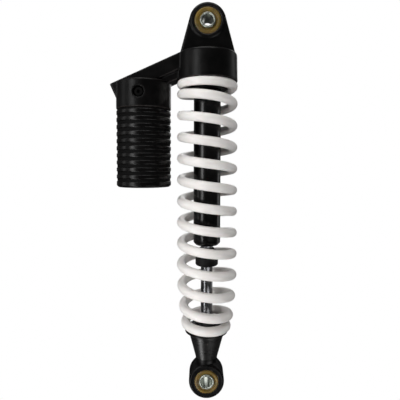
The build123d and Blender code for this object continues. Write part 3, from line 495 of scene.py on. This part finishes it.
def place(piece: bpy.types.Object, body: str, slot: str, *nodes: str) -> bpy.types.Object:
    """Put a finished piece on its body in place of its CAD nodes.

    Args:
        piece: The finished object.
        body: The CAD body it moves with.
        slot: The record's material slot; not used.
        nodes: CAD nodes it stands for.

    Returns:
        The piece.
    """
    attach(piece, body)
    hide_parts(*nodes)
    LOG.info("%s rides on %s, %d faces", piece.name, body, len(piece.data.polygons))
    return piece


def softened_copy(name: str, node: str, voxel: float, passes: int) -> bpy.types.Mesh:
    """Copy a CAD node's shape with the soft corners of a casting.

    Args:
        name: Name of the mesh.
        node: The CAD node.
        voxel: Size of the new mesh's faces.
        passes: Smoothing passes; more make rounder corners.

    Returns:
        A closed, evenly divided mesh.
    """
    merged = bmesh.new()
    merged.from_mesh(frame["nodes"][node].data)
    bmesh.ops.remove_doubles(merged, verts=merged.verts, dist=2 * WELD)
    rough = bpy.data.meshes.new(name + "_rough")
    merged.to_mesh(rough)
    merged.free()
    holder = bpy.data.objects.new(name + "_rough", rough)
    bpy.context.scene.collection.objects.link(holder)
    remesh = holder.modifiers.new("even", "REMESH")
    remesh.mode = "VOXEL"
    remesh.voxel_size = voxel
    smooth = holder.modifiers.new("soft", "SMOOTH")
    smooth.factor = 0.5
    smooth.iterations = passes
    result = evaluated_mesh(holder, name)
    result.shade_smooth()
    return result


def evaluated_mesh(holder: bpy.types.Object, name: str) -> bpy.types.Mesh:
    """Turn an object with modifiers into a plain mesh and remove the object.

    Args:
        holder: The object to evaluate.
        name: Name of the new mesh.

    Returns:
        The plain mesh.
    """
    bpy.context.view_layer.update()
    graph = bpy.context.evaluated_depsgraph_get()
    mesh = bpy.data.meshes.new_from_object(holder.evaluated_get(graph))
    mesh.name = name
    holder.modifiers.clear()
    bpy.data.objects.remove(holder)
    return mesh


# --------------------------------------------------------------- geometry nodes
@dataclass
class NodeRecipe:
    """A Geometry Nodes tree with named inputs, run once to give a plain mesh."""

    name: str
    tree: bpy.types.NodeTree = field(init=False)
    start: bpy.types.Node = field(init=False)

    def __post_init__(self) -> None:
        """Make the empty tree with its geometry output."""
        self.tree = bpy.data.node_groups.new(self.name, "GeometryNodeTree")
        self.tree.interface.new_socket("Geometry", in_out="OUTPUT", socket_type="NodeSocketGeometry")
        self.start = self.tree.nodes.new("NodeGroupInput")

    def size(self, name: str, kind: str = "NodeSocketFloat") -> bpy.types.NodeSocket:
        """Add a named input and give its socket."""
        self.tree.interface.new_socket(name, in_out="INPUT", socket_type=kind)
        return self.start.outputs[name]

    def node(self, kind: str, settings: Optional[dict[str, object]] = None,
             inputs: Optional[dict[str | int, object]] = None) -> bpy.types.Node:
        """Add a node to this tree."""
        return add_node(self.tree, kind, settings, inputs)

    def math(self, operation: str, first: object, second: object = 0.0) -> bpy.types.NodeSocket:
        """Add one step of arithmetic and give its result."""
        return self.node("ShaderNodeMath", {"operation": operation}, {0: first, 1: second}).outputs[0]

    def run(
        self, geometry: bpy.types.NodeSocket, values: dict[str, object], finish: Finish
    ) -> bpy.types.Mesh:
        """Close the tree, set its inputs and turn the result into a mesh.

        Args:
            geometry: The socket with the finished shape.
            values: Value of each named input.
            finish: Finish of the whole shape.

        Returns:
            The plain mesh.
        """
        smooth = self.node("GeometryNodeSetShadeSmooth", inputs={"Geometry": geometry})
        real = self.node("GeometryNodeRealizeInstances", inputs={"Geometry": smooth.outputs[0]})
        dressed = self.node("GeometryNodeSetMaterial", inputs={
            "Geometry": real.outputs[0], "Material": finish.material()})
        end = self.tree.nodes.new("NodeGroupOutput")
        self.tree.links.new(dressed.outputs[0], end.inputs[0])
        holder = bpy.data.objects.new(self.name, bpy.data.meshes.new(self.name + "_seed"))
        bpy.context.scene.collection.objects.link(holder)
        modifier = holder.modifiers.new(self.name, "NODES")
        modifier.node_group = self.tree
        for item in self.tree.interface.items_tree:
            if item.item_type == "SOCKET" and item.in_out == "INPUT":
                modifier[item.identifier] = values[item.name]
        return evaluated_mesh(holder, self.name)


# -------------------------------------------------------------------- the spring
@dataclass
class CoilSpring:
    """Left-hand compression spring with closed, ground ends, drawn in at its foot.

    The lays say where the wire's centre line runs: a turn number, and how many wire diameters it
    lies below the hat or above the lower seat. Between them the pitch is even.
    """

    wire_radius: float = 4.25 * MM
    outer_radius: float = 28.0 * MM
    end_draw: float = 5.45 * MM
    taper_turn: float = 9.6
    taper_power: float = 1.3
    steps_per_turn: int = 56
    sides: int = 32
    first_free_turn: float = 1.0
    last_free_turn: float = 11.6
    head_lay: tuple[Pair, ...] = (
        (-0.10, 0.153), (0.0, 0.235), (0.25, 0.33), (0.5, 0.494), (0.75, 0.812),
        (1.0, 1.294), (1.25, 1.788), (1.5, 2.365), (1.75, 2.953), (2.0, 3.565),
    )
    foot_lay: tuple[Pair, ...] = (
        (11.0, 2.53), (11.25, 2.0), (11.5, 1.53), (11.75, 1.07),
        (12.0, 0.682), (12.25, 0.447), (12.5, 0.318), (12.6, 0.27),
    )

    def lay(self, head: float, foot: float) -> list[Pair]:
        """Turn number and height of the wire's centre line, from the hat to the lower seat."""
        wire = 2 * self.wire_radius
        upper = [(turn, head - drop * wire) for turn, drop in self.head_lay]
        return upper + [(turn, foot + rise * wire) for turn, rise in self.foot_lay]

    def wire_mesh(self, head: float, foot: float) -> bpy.types.Mesh:
        """Build the whole wire, before its ends are ground.

        Args:
            head: Height of the upper ground face.
            foot: Height of the lower ground face.

        Returns:
            The wire, with each point's turn number in the attribute wire_turn.
        """
        lay = self.lay(head, foot)
        first, last = lay[0][0], lay[-1][0]
        recipe = NodeRecipe("coil_spring_wire")
        wire_radius = recipe.size("Wire radius")
        mean_radius = recipe.size("Mean radius")
        draw = recipe.size("End draw")
        first_turn = recipe.size("First turn")
        last_turn = recipe.size("Last turn")
        taper_turn = recipe.size("Taper turn")
        taper_power = recipe.size("Taper power")
        head_z = recipe.size("Head height")
        foot_z = recipe.size("Foot height")
        steps = recipe.size("Steps", "NodeSocketInt")
        sides = recipe.size("Sides", "NodeSocketInt")
        line = recipe.node("GeometryNodeCurvePrimitiveLine")
        spaced = recipe.node("GeometryNodeResampleCurve", inputs={
            "Curve": line.outputs[0], "Count": steps})
        along = recipe.node("GeometryNodeSplineParameter").outputs["Factor"]
        span = recipe.math("SUBTRACT", last_turn, first_turn)
        turn = recipe.math("ADD", recipe.math("MULTIPLY", along, span), first_turn)
        angle = recipe.math("ADD", recipe.math("MULTIPLY", turn, 2 * math.pi), math.pi)
        past = recipe.math("MAXIMUM", recipe.math("SUBTRACT", turn, taper_turn), 0.0)
        share = recipe.math("DIVIDE", past, recipe.math("SUBTRACT", last_turn, taper_turn))
        pulled = recipe.math("MULTIPLY", recipe.math("POWER", share, taper_power), draw)
        radius = recipe.math("SUBTRACT", mean_radius, pulled)
        curve = recipe.node("ShaderNodeFloatCurve", inputs={"Value": along})
        self.fill_curve(curve, lay, first, last, head, foot)
        drop = recipe.math("MULTIPLY", curve.outputs[0], recipe.math("SUBTRACT", head_z, foot_z))
        height = recipe.math("SUBTRACT", head_z, drop)
        point = recipe.node("ShaderNodeCombineXYZ", inputs={
            0: recipe.math("MULTIPLY", radius, recipe.math("COSINE", angle)),
            1: recipe.math("MULTIPLY", radius, recipe.math("SINE", angle)),
            2: height})
        kept_per_point = {"data_type": "FLOAT", "domain": "POINT"}
        numbered = recipe.node("GeometryNodeStoreNamedAttribute", kept_per_point, {
            "Geometry": spaced.outputs[0], "Name": "wire_turn", "Value": turn})
        wound = recipe.node("GeometryNodeSetPosition", inputs={
            "Geometry": numbered.outputs[0], "Position": point.outputs[0]})
        section = recipe.node("GeometryNodeCurvePrimitiveCircle", inputs={
            "Resolution": sides, "Radius": wire_radius})
        wire = recipe.node("GeometryNodeCurveToMesh", inputs={
            "Curve": wound.outputs[0], "Profile Curve": section.outputs[0], "Fill Caps": True})
        values = {
            "Wire radius": self.wire_radius, "Mean radius": self.outer_radius - self.wire_radius,
            "End draw": self.end_draw, "First turn": first, "Last turn": last,
            "Taper turn": self.taper_turn, "Taper power": self.taper_power,
            "Head height": head, "Foot height": foot,
            "Steps": int((last - first) * self.steps_per_turn), "Sides": self.sides,
        }
        return recipe.run(wire.outputs[0], values, POWDER_WHITE)

    def fill_curve(self, node: bpy.types.Node, lay: Sequence[Pair], first: float, last: float,
                   head: float, foot: float) -> None:
        """Write the spring's lay into a float curve, both ways from 0 to 1.

        Args:
            node: The float curve node.
            lay: Turn number and height of each point.
            first: Turn number of the upper end.
            last: Turn number of the lower end.
            head: Height of the upper ground face.
            foot: Height of the lower ground face.
        """
        points = node.mapping.curves[0].points
        while len(points) < len(lay):
            points.new(0.5, 0.5)
        for point, (turn, height) in zip(points, lay):
            point.location = ((turn - first) / (last - first), (head - height) / (head - foot))
            point.handle_type = "VECTOR"
        node.mapping.update()

    def grind(self, mesh: bpy.types.Mesh, head: float, foot: float) -> None:
        """Cut both ends flat and close the cuts."""
        shape = bmesh.new()
        shape.from_mesh(mesh)
        for height, normal in ((head, (0.0, 0.0, 1.0)), (foot, (0.0, 0.0, -1.0))):
            everything = shape.verts[:] + shape.edges[:] + shape.faces[:]
            cut = bmesh.ops.bisect_plane(shape, geom=everything, plane_co=(0.0, 0.0, height),
                                         plane_no=normal, clear_outer=True)
            edges = [item for item in cut["geom_cut"] if isinstance(item, bmesh.types.BMEdge)]
            filled = bmesh.ops.holes_fill(shape, edges=edges, sides=0)
            for face in filled["faces"]:
                face.smooth = False
        bmesh.ops.remove_doubles(shape, verts=shape.verts, dist=WELD)
        bmesh.ops.recalc_face_normals(shape, faces=shape.faces)
        shape.to_mesh(mesh)
        shape.free()

    def build(self) -> bpy.types.Object:
        """Build the spring and stretch it between the hat and the sliding lower seat."""
        low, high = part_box("coil_spring")
        mesh = self.wire_mesh(high.z, low.z)
        self.grind(mesh, high.z, low.z)
        spring = show("coil_spring_wire", mesh, POWDER_WHITE)
        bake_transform(spring, "barrel", "slider", start=(0.0, 0.0, high.z), end=(0.0, 0.0, low.z))
        turns = np.zeros(len(mesh.vertices), np.float32)
        mesh.attributes["wire_turn"].data.foreach_get("value", turns)
        free = self.last_free_turn - self.first_free_turn
        share = np.clip((turns - self.first_free_turn) / free, 0.0, 1.0).astype(np.float32)
        mesh.attributes["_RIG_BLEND"].data.foreach_set("value", share)
        mesh.attributes.remove(mesh.attributes["wire_turn"])
        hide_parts("coil_spring")
        LOG.info("%s bends between barrel and slider, %d faces", spring.name, len(mesh.polygons))
        return spring


# --------------------------------------------------------------- castings and eyes
@dataclass
class Castings:
    """The head and the lower mount, with the soft corners of cast metal.

    The cone's foot is the height where turning starts, and the recess reach is the radius about
    the bleed screw inside which painted shade replaces the painted edge highlight.
    """

    head_voxel: float = 0.63 * MM
    head_passes: int = 8
    mount_voxel: float = 0.5 * MM
    mount_passes: int = 7
    cone_foot: float = -310.0 * MM
    recess_reach: float = 5.8 * MM

    def build(self) -> list[bpy.types.Object]:
        """Build both castings and put them on their bodies."""
        head_mesh = softened_copy("head_casting_shell", "head_casting", self.head_voxel, self.head_passes)
        head = show("head_casting_shell", head_mesh, CAST_PAINT)
        mount_mesh = softened_copy("lower_mount_shell", "lower_mount", self.mount_voxel, self.mount_passes)
        mount = show("lower_mount_shell", mount_mesh, CAST_PAINT)
        self.polish_cone(mount.data)
        self.darken_recess(head.data)
        return [
            place(head, "barrel", "black_casting", "head_casting"),
            place(mount, "rod", "black_casting", "lower_mount"),
        ]

    def darken_recess(self, mesh: bpy.types.Mesh) -> None:
        """Paint shade into the recess round the bleed screw: darker paint without the painted edge
        highlight.
        """
        low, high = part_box("bleed_screw")
        mesh.materials.append(RECESS_SHADE_PAINT.material())
        for face in mesh.polygons:
            away = math.hypot(face.center.x - (low.x + high.x) / 2, face.center.z - (low.z + high.z) / 2)
            if face.center.y < 0.0 and away < self.recess_reach:
                face.material_index = 1

    def polish_cone(self, mesh: bpy.types.Mesh) -> None:
        """Give the turned cone above the neck its own finish."""
        mesh.materials.append(TURNED_BLACK.material())
        for face in mesh.polygons:
            if face.center.z > self.cone_foot:
                face.material_index = 1


@dataclass
class EyeFittings:
    """Amber bush and plated sleeve in one eye."""

    label: str
    bush_body: str
    sleeve_body: str
    dish_width: float = 1.3 * MM
    dish_depth: float = 1.3 * MM
    dish_slope: float = 0.5 * MM
    crown: float = 0.35 * MM
    edge: float = 0.7 * MM
    bush_round: float = 0.5 * MM
    sleeve_gap: float = 0.02 * MM
    sleeve_bevel: float = 0.6 * MM
    sleeve_round: float = 0.12 * MM

    def bush(self) -> bpy.types.Object:
        """Build the bush: a crowned ring of urethane with a trough round the sleeve."""
        low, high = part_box(self.label + "_bush")
        sleeve_low, sleeve_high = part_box(self.label + "_sleeve")
        middle = (low.z + high.z) / 2
        outer = (high.z - low.z) / 2
        inner = (sleeve_high.z - sleeve_low.z) / 2 + self.sleeve_gap
        half = (high.y - low.y) / 2
        trough = inner + self.dish_width
        lip = trough + self.dish_slope
        face = [
            (inner, half - self.dish_depth), (trough, half - self.dish_depth), (lip, half - self.crown),
            ((lip + outer) / 2, half), (outer - self.edge, half - self.crown / 2),
            (outer, half - self.edge),
        ]
        outline = [(radius, -along) for radius, along in face] + list(reversed(face))
        mesh = turned_mesh(self.label + "_bush_ring", rounded(outline, self.bush_round),
                           (0.0, 0.0, middle), Axis.EYE)
        return place(show(self.label + "_bush_ring", mesh, AMBER_URETHANE), self.bush_body, "urethane",
                     self.label + "_bush")

    def sleeve(self) -> bpy.types.Object:
        """Build the sleeve: a thin tube with bevelled ends."""
        low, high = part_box(self.label + "_sleeve")
        middle = (low.z + high.z) / 2
        outer = (high.z - low.z) / 2
        half = (high.y - low.y) / 2
        bore = self.bore_radius()
        bevel = self.sleeve_bevel
        outline = [
            (bore, -half + bevel), (bore + bevel, -half), (outer - bevel, -half), (outer, -half + bevel),
            (outer, half - bevel), (outer - bevel, half), (bore + bevel, half), (bore, half - bevel),
        ]
        mesh = turned_mesh(self.label + "_sleeve_tube", rounded(outline, self.sleeve_round, 2),
                           (0.0, 0.0, middle), Axis.EYE)
        return place(show(self.label + "_sleeve_tube", mesh, ZINC_PLATE), self.sleeve_body, "zinc_steel",
                     self.label + "_sleeve")

    def bore_radius(self) -> float:
        """Radius of the bolt hole, from the record's mount."""
        names = {"top": "top_eye", "lower": "bottom_eye"}
        for mount in frame["record"]["mounts"]:
            if mount["name"] == names[self.label]:
                return mount["dims"]["r_mm"] * MM
        raise ValueError("the record has no mount for the " + self.label + " eye")

    def build(self) -> list[bpy.types.Object]:
        """Build both pieces of the eye."""
        return [self.bush(), self.sleeve()]


# ------------------------------------------------------------------ damper column
@dataclass
class DamperColumn:
    """Tube, rod, bump stop and lower spring seat on the damper axis."""

    tube_bore: float = 9.5 * MM
    tube_chamfer: float = 2.3 * MM
    rod_tail_radius: float = 4.45 * MM
    rod_tail_length: float = 19.5 * MM
    rod_foot_bevel: float = 1.0 * MM
    stop_bore: float = 5.9 * MM
    stop_foot: float = 1.0 * MM
    stop_land: float = 1.0 * MM
    stop_crown: tuple[Pair, ...] = ((0.0, 6.0 * MM), (0.9 * MM, 3.4 * MM), (3.6 * MM, 0.8 * MM))
    collar_radius: float = 13.65 * MM
    seat_bore: float = 10.25 * MM
    seat_thickness: float = 2.5 * MM
    steel_round: float = 0.6 * MM
    rod_round: float = 0.3 * MM
    rubber_round: float = 1.2 * MM

    def tube(self) -> bpy.types.Object:
        """Build the enamelled tube with its bevelled lower end."""
        low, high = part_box("damper_tube")
        radius = high.x
        outline = [
            (self.tube_bore, low.z), (radius - self.tube_chamfer, low.z),
            (radius, low.z + self.tube_chamfer), (radius, high.z), (self.tube_bore, high.z),
        ]
        mesh = turned_mesh("damper_tube_wall", rounded(outline, self.steel_round))
        return place(show("damper_tube_wall", mesh, TUBE_ENAMEL), "barrel", "black_tube", "damper_tube")

    def rod(self) -> bpy.types.Object:
        """Build the chromed rod down to its foot."""
        low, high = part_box("piston_rod")
        radius = high.x
        tail = self.rod_tail_radius
        shoulder = high.z - self.rod_tail_length
        bevel = self.rod_foot_bevel
        outline = [
            (0.0, low.z), (radius - bevel, low.z), (radius, low.z + bevel), (radius, shoulder),
            (tail, shoulder), (tail, high.z), (0.0, high.z),
        ]
        mesh = turned_mesh("piston_rod_bar", rounded(outline, self.rod_round))
        return place(show("piston_rod_bar", mesh, HARD_CHROME), "rod", "chrome_rod", "piston_rod")

    def bump_stop(self) -> bpy.types.Object:
        """Build the moulded rubber stop."""
        low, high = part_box("bump_stop")
        radius = high.x
        bore = self.stop_bore
        outline = [
            (bore, low.z), (radius - self.stop_foot, low.z), (radius, low.z + self.stop_foot),
        ]
        outline += [(radius - inset, high.z - drop) for inset, drop in self.stop_crown]
        outline += [(bore + self.stop_land, high.z), (bore, high.z)]
        mesh = turned_mesh("bump_stop_rubber", rounded(outline, self.rubber_round, 5))
        return place(show("bump_stop_rubber", mesh, MOULDED_RUBBER), "stop", "black_rubber", "bump_stop")

    def lower_seat(self) -> bpy.types.Object:
        """Build the loose flange under the spring."""
        low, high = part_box("lower_spring_seat")
        radius = high.x
        face = low.z + self.seat_thickness
        outline = [
            (self.seat_bore, low.z), (radius, low.z), (radius, face), (self.collar_radius, face),
            (self.collar_radius, high.z), (self.seat_bore, high.z),
        ]
        mesh = turned_mesh("lower_seat_flange", rounded(outline, self.steel_round))
        flange = show("lower_seat_flange", mesh, CAST_PAINT)
        return place(flange, "slider", "seat_steel", "lower_spring_seat")

    def build(self) -> list[bpy.types.Object]:
        """Build the four pieces of the column."""
        return [self.tube(), self.rod(), self.bump_stop(), self.lower_seat()]


# ---------------------------------------------------------------------- reservoir
@dataclass
class Reservoir:
    """Ribbed reservoir wall under the head's smooth band.

    The slopes are the widths of the bevels beside a groove's floor. Whatever lies deeper in a groove
    than the shade share of its depth gets the matt groove finish, painted shade in the grooves.
    """

    pitch: float = 6.45 * MM
    groove_floor: float = 1.9 * MM
    groove_slope: float = 0.25 * MM
    groove_depth: float = 0.6 * MM
    crest_round: float = 0.9 * MM
    foot_slope: float = 0.2 * MM
    edge_round: float = 0.4 * MM
    shade_share: float = 0.8
    bottom_bevel: float = 1.6 * MM
    bore: float = 18.5 * MM
    neck_inset: float = 4.0 * MM
    neck_length: float = 7.4 * MM
    sides: int = 128

    @property
    def groove_width(self) -> float:
        """Width of a groove half way down its bevels."""
        return self.groove_floor + 2 * self.groove_slope

    def ribs(self, x: float, crest: float, first: float, count: int) -> bpy.types.Mesh:
        """Build the raised ribs as rings on a line.

        Args:
            x: X of the reservoir's axis.
            crest: Outer radius of the ribs.
            first: Height of the first rib's middle.
            count: How many ribs.

        Returns:
            All the ribs in one mesh.
        """
        recipe = NodeRecipe("reservoir_ribs")
        crest_radius = recipe.size("Crest radius")
        depth = recipe.size("Rib depth")
        width = recipe.size("Rib width")
        corner = recipe.size("Corner radius")
        pitch = recipe.size("Pitch")
        first_z = recipe.size("First height")
        axis_x = recipe.size("Axis X")
        rib_count = recipe.size("Rib count", "NodeSocketInt")
        sides = recipe.size("Sides", "NodeSocketInt")
        hoop_radius = recipe.math("SUBTRACT", crest_radius, recipe.math("MULTIPLY", depth, 0.5))
        hoop = recipe.node("GeometryNodeCurvePrimitiveCircle", inputs={
            "Resolution": sides, "Radius": hoop_radius})
        section = recipe.node("GeometryNodeCurvePrimitiveQuadrilateral", inputs={
            "Width": depth, "Height": width})
        soft = recipe.node("GeometryNodeFilletCurve", {"mode": "POLY"}, {
            "Curve": section.outputs[0], "Count": 4, "Radius": corner})
        rib = recipe.node("GeometryNodeCurveToMesh", inputs={
            "Curve": hoop.outputs[0], "Profile Curve": soft.outputs[0]})
        start = recipe.node("ShaderNodeCombineXYZ", inputs={0: axis_x, 2: first_z})
        step = recipe.node("ShaderNodeCombineXYZ", inputs={2: recipe.math("MULTIPLY", pitch, -1.0)})
        line = recipe.node("GeometryNodeMeshLine", inputs={
            "Count": rib_count, "Start Location": start.outputs[0], "Offset": step.outputs[0]})
        stack = recipe.node("GeometryNodeInstanceOnPoints", inputs={
            "Points": line.outputs[0], "Instance": rib.outputs[0]})
        values = {
            "Crest radius": crest, "Rib depth": 3 * self.groove_depth,
            "Rib width": self.pitch - self.groove_width, "Corner radius": self.crest_round,
            "Pitch": self.pitch, "First height": first, "Axis X": x, "Rib count": count,
            "Sides": self.sides,
        }
        return recipe.run(stack.outputs[0], values, RIB_BLACK)

    def wall(self, x: float, crest: float, low: float, high: float, foot: float) -> bpy.types.Mesh:
        """Build the plain wall under the ribs, with its neck and the band at its foot.

        Args:
            x: X of the reservoir's axis.
            crest: Outer radius of the ribs.
            low: Height of the bottom edge.
            high: Height of the neck's top.
            foot: Height of the lowest groove's lower edge.

        Returns:
            The wall, a closed turned shape.
        """
        floor = crest - self.groove_depth
        shoulder = high - self.neck_length
        neck = crest - self.neck_inset
        outline = [
            (self.bore, low), (crest - self.bottom_bevel, low), (crest, low + self.bottom_bevel),
            (crest, foot), (floor, foot + self.foot_slope), (floor, shoulder), (neck, shoulder),
            (neck, high), (self.bore, high),
        ]
        return turned_mesh("reservoir_wall", rounded(outline, self.edge_round), (x, 0.0, 0.0),
                           segments=self.sides)

    def shade_grooves(self, mesh: bpy.types.Mesh, x: float, crest: float, foot: float) -> None:
        """Paint shade into the groove floors with their darker, matt finish.

        Args:
            mesh: The joined body.
            x: X of the reservoir's axis.
            crest: Outer radius of the ribs.
            foot: Height of the lowest groove's lower edge.
        """
        mesh.materials.append(GROOVE_SHADE_BLACK.material())
        inner = self.bore + self.groove_depth
        outer = crest - self.shade_share * self.groove_depth
        for face in mesh.polygons:
            reach = math.hypot(face.center.x - x, face.center.y)
            if inner < reach < outer and face.center.z > foot:
                face.material_index = 1

    def build(self) -> list[bpy.types.Object]:
        """Build the ribbed body as one piece."""
        low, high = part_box("reservoir_body")
        x = (low.x + high.x) / 2
        crest = (high.x - low.x) / 2
        shoulder = high.z - self.neck_length
        count = int((shoulder - low.z - self.pitch / 2 - self.bottom_bevel) / self.pitch)
        foot = shoulder - count * self.pitch - self.groove_width / 2
        joined = bmesh.new()
        joined.from_mesh(self.wall(x, crest, low.z, high.z, foot))
        joined.from_mesh(self.ribs(x, crest, shoulder - self.pitch / 2, count))
        bmesh.ops.recalc_face_normals(joined, faces=joined.faces)
        mesh = bpy.data.meshes.new("reservoir_ribbed_body")
        joined.to_mesh(mesh)
        joined.free()
        mesh.shade_smooth()
        body = show("reservoir_ribbed_body", mesh, RIB_BLACK)
        self.shade_grooves(mesh, x, crest, foot)
        return [place(body, "barrel", "black_anodised", "reservoir_body")]


# ------------------------------------------------------------------ stage and light
@dataclass(frozen=True)
class Softbox:
    """One soft light that looks at the middle of the shock.

    Azimuth counts from straight in front, positive towards +X, and elevation from the middle,
    both in degrees. Distance and size are in metres.
    """

    name: str
    azimuth: float
    elevation: float
    distance: float
    size: Pair
    watts: float

    def hang(self, middle: Vector) -> None:
        """Hang the light, unseen by the camera.

        Args:
            middle: The point it looks at.
        """
        data = bpy.data.lights.new(self.name, "AREA")
        data.shape = "RECTANGLE"
        data.size, data.size_y = self.size
        data.energy = self.watts
        light = bpy.data.objects.new(self.name, data)
        light.visible_camera = False
        bpy.context.scene.collection.objects.link(light)
        around, above = math.radians(self.azimuth), math.radians(self.elevation)
        level = math.cos(above)
        toward = Vector((math.sin(around) * level, -math.cos(around) * level, math.sin(above)))
        light.location = middle + toward * self.distance
        light.rotation_euler = (-toward).to_track_quat("-Z", "Y").to_euler()


# The left lights draw the bright lines down the tube, rod and cone, the right one rims the black
# edges, and the back one is mirrored in the lower sleeve's bore and lights the far side.
SOFTBOXES = (
    Softbox("left_key", -43.0, 14.0, 1.1, (0.3, 0.9), 5.0),
    Softbox("low_left", -50.0, -50.0, 0.8, (0.2, 0.42), 2.0),
    Softbox("rod_strip", -42.0, -22.0, 0.8, (0.06, 0.4), 1.0),
    Softbox("low_fill", 32.0, -30.0, 1.0, (0.7, 0.3), 3.0),
    Softbox("left_strip", -82.0, 14.0, 0.9, (0.2, 0.8), 0.8),
    Softbox("right_strip", 112.0, 6.0, 0.9, (0.2, 1.0), 1.2),
    Softbox("top_light", -20.0, 76.0, 0.9, (0.8, 0.3), 4.0),
    Softbox("back_fill", 172.0, 28.0, 1.1, (0.7, 0.7), 3.0),
)


@dataclass
class Studio:
    """Pale floor, white backdrop, soft lights and the camera."""

    focal_mm: float = 34.2
    camera_place: tuple[float, float, float] = (-6.6 * MM, -354.8 * MM, -128.9 * MM)
    pitch_degrees: float = -2.5
    roll_degrees: float = -0.17
    shift_y: float = -0.0465
    near_clip: float = 0.01
    floor_z: float = -1.0
    floor_half: float = 6.0
    floor_colour: str = "#6e6e6e"
    backdrop_colour: str = "#ffffff"
    glow: float = 0.1

    def camera(self) -> None:
        """Set the camera close in front, a little above the middle and tipped slightly down."""
        data = bpy.data.cameras.new("front_camera")
        data.lens = self.focal_mm
        data.sensor_width = SENSOR_WIDTH_MM
        data.shift_y = self.shift_y
        data.clip_start = self.near_clip
        camera = bpy.data.objects.new("front_camera", data)
        bpy.context.scene.collection.objects.link(camera)
        tilt = Euler((math.radians(90 + self.pitch_degrees), math.radians(self.roll_degrees), 0.0))
        camera.location = self.camera_place
        camera.rotation_euler = tilt
        bpy.context.scene.camera = camera

    def camera_only(
        self, tree: bpy.types.NodeTree, others: bpy.types.Node, seen: bpy.types.Node, output: str
    ) -> None:
        """Show one shader to the camera and another to every other ray.

        Args:
            tree: The material's or world's tree.
            others: Shader that lights the shock.
            seen: Shader that the camera sees.
            output: Type name of the tree's output node.
        """
        path = add_node(tree, "ShaderNodeLightPath")
        mix = add_node(tree, "ShaderNodeMixShader", inputs={
            0: path.outputs["Is Camera Ray"], 1: others.outputs[0], 2: seen.outputs[0]})
        add_node(tree, output, inputs={"Surface": mix.outputs[0]})

    def floor(self) -> None:
        """Lay the pale floor well below the hanging shock."""
        shape = bmesh.new()
        bmesh.ops.create_grid(shape, x_segments=8, y_segments=8, size=self.floor_half)
        mesh = bpy.data.meshes.new("floor")
        shape.to_mesh(mesh)
        shape.free()
        floor = bpy.data.objects.new("floor", mesh)
        floor.location = (0.0, 0.0, self.floor_z)
        bpy.context.scene.collection.objects.link(floor)
        material = bpy.data.materials.new("pale_floor")
        material.use_nodes = True
        tree = material.node_tree
        tree.nodes.clear()
        matt = add_node(tree, "ShaderNodeBsdfDiffuse", inputs={"Color": linear(self.floor_colour)})
        white = add_node(tree, "ShaderNodeEmission", inputs={
            "Color": linear(self.backdrop_colour), "Strength": 1.0})
        self.camera_only(tree, matt, white, "ShaderNodeOutputMaterial")
        mesh.materials.append(material)

    def sky(self) -> None:
        """White backdrop for the camera, with a dimmer glow for the light it gives."""
        world = bpy.data.worlds.new("studio")
        world.use_nodes = True
        tree = world.node_tree
        tree.nodes.clear()
        glow, white = (
            add_node(tree, "ShaderNodeBackground", inputs={
                "Color": linear(self.backdrop_colour), "Strength": strength})
            for strength in (self.glow, 1.0)
        )
        self.camera_only(tree, glow, white, "ShaderNodeOutputWorld")
        bpy.context.scene.world = world

    def build(self) -> None:
        """Set up the whole stage."""
        self.camera()
        self.floor()
        self.sky()
        middle = Vector((0.0, 0.0, LOOK_HEIGHT))
        for softbox in SOFTBOXES:
            softbox.hang(middle)
        bpy.context.scene.view_settings.view_transform = "Standard"


# --------------------------------------------------------------------------- main
def dress_cad_nodes() -> None:
    """Give every carried-over CAD node its finish by its material slot."""
    slots = {part["node"]: part["material_slot"] for part in frame["record"]["subparts"]}
    special = {"bleed_screw": BLACK_STEEL, "passage_plug": BLACK_STEEL, "valve_cap": MOULDED_RUBBER}
    for name, node in frame["nodes"].items():
        finish = special.get(name, CAD_FINISHES[slots[name]])
        node.data.materials.clear()
        node.data.materials.append(finish.material())


def main() -> None:
    """Build the shock's sub-assemblies in order, then the stage."""
    logging.basicConfig(level=logging.INFO, format="%(name)s: %(message)s")
    dress_cad_nodes()
    Castings().build()
    EyeFittings("top", "barrel", "top_pivot").build()
    EyeFittings("lower", "rod", "bottom_pivot").build()
    CoilSpring().build()
    DamperColumn().build()
    Reservoir().build()
    Studio().build()


if __name__ == "__main__":
    main()
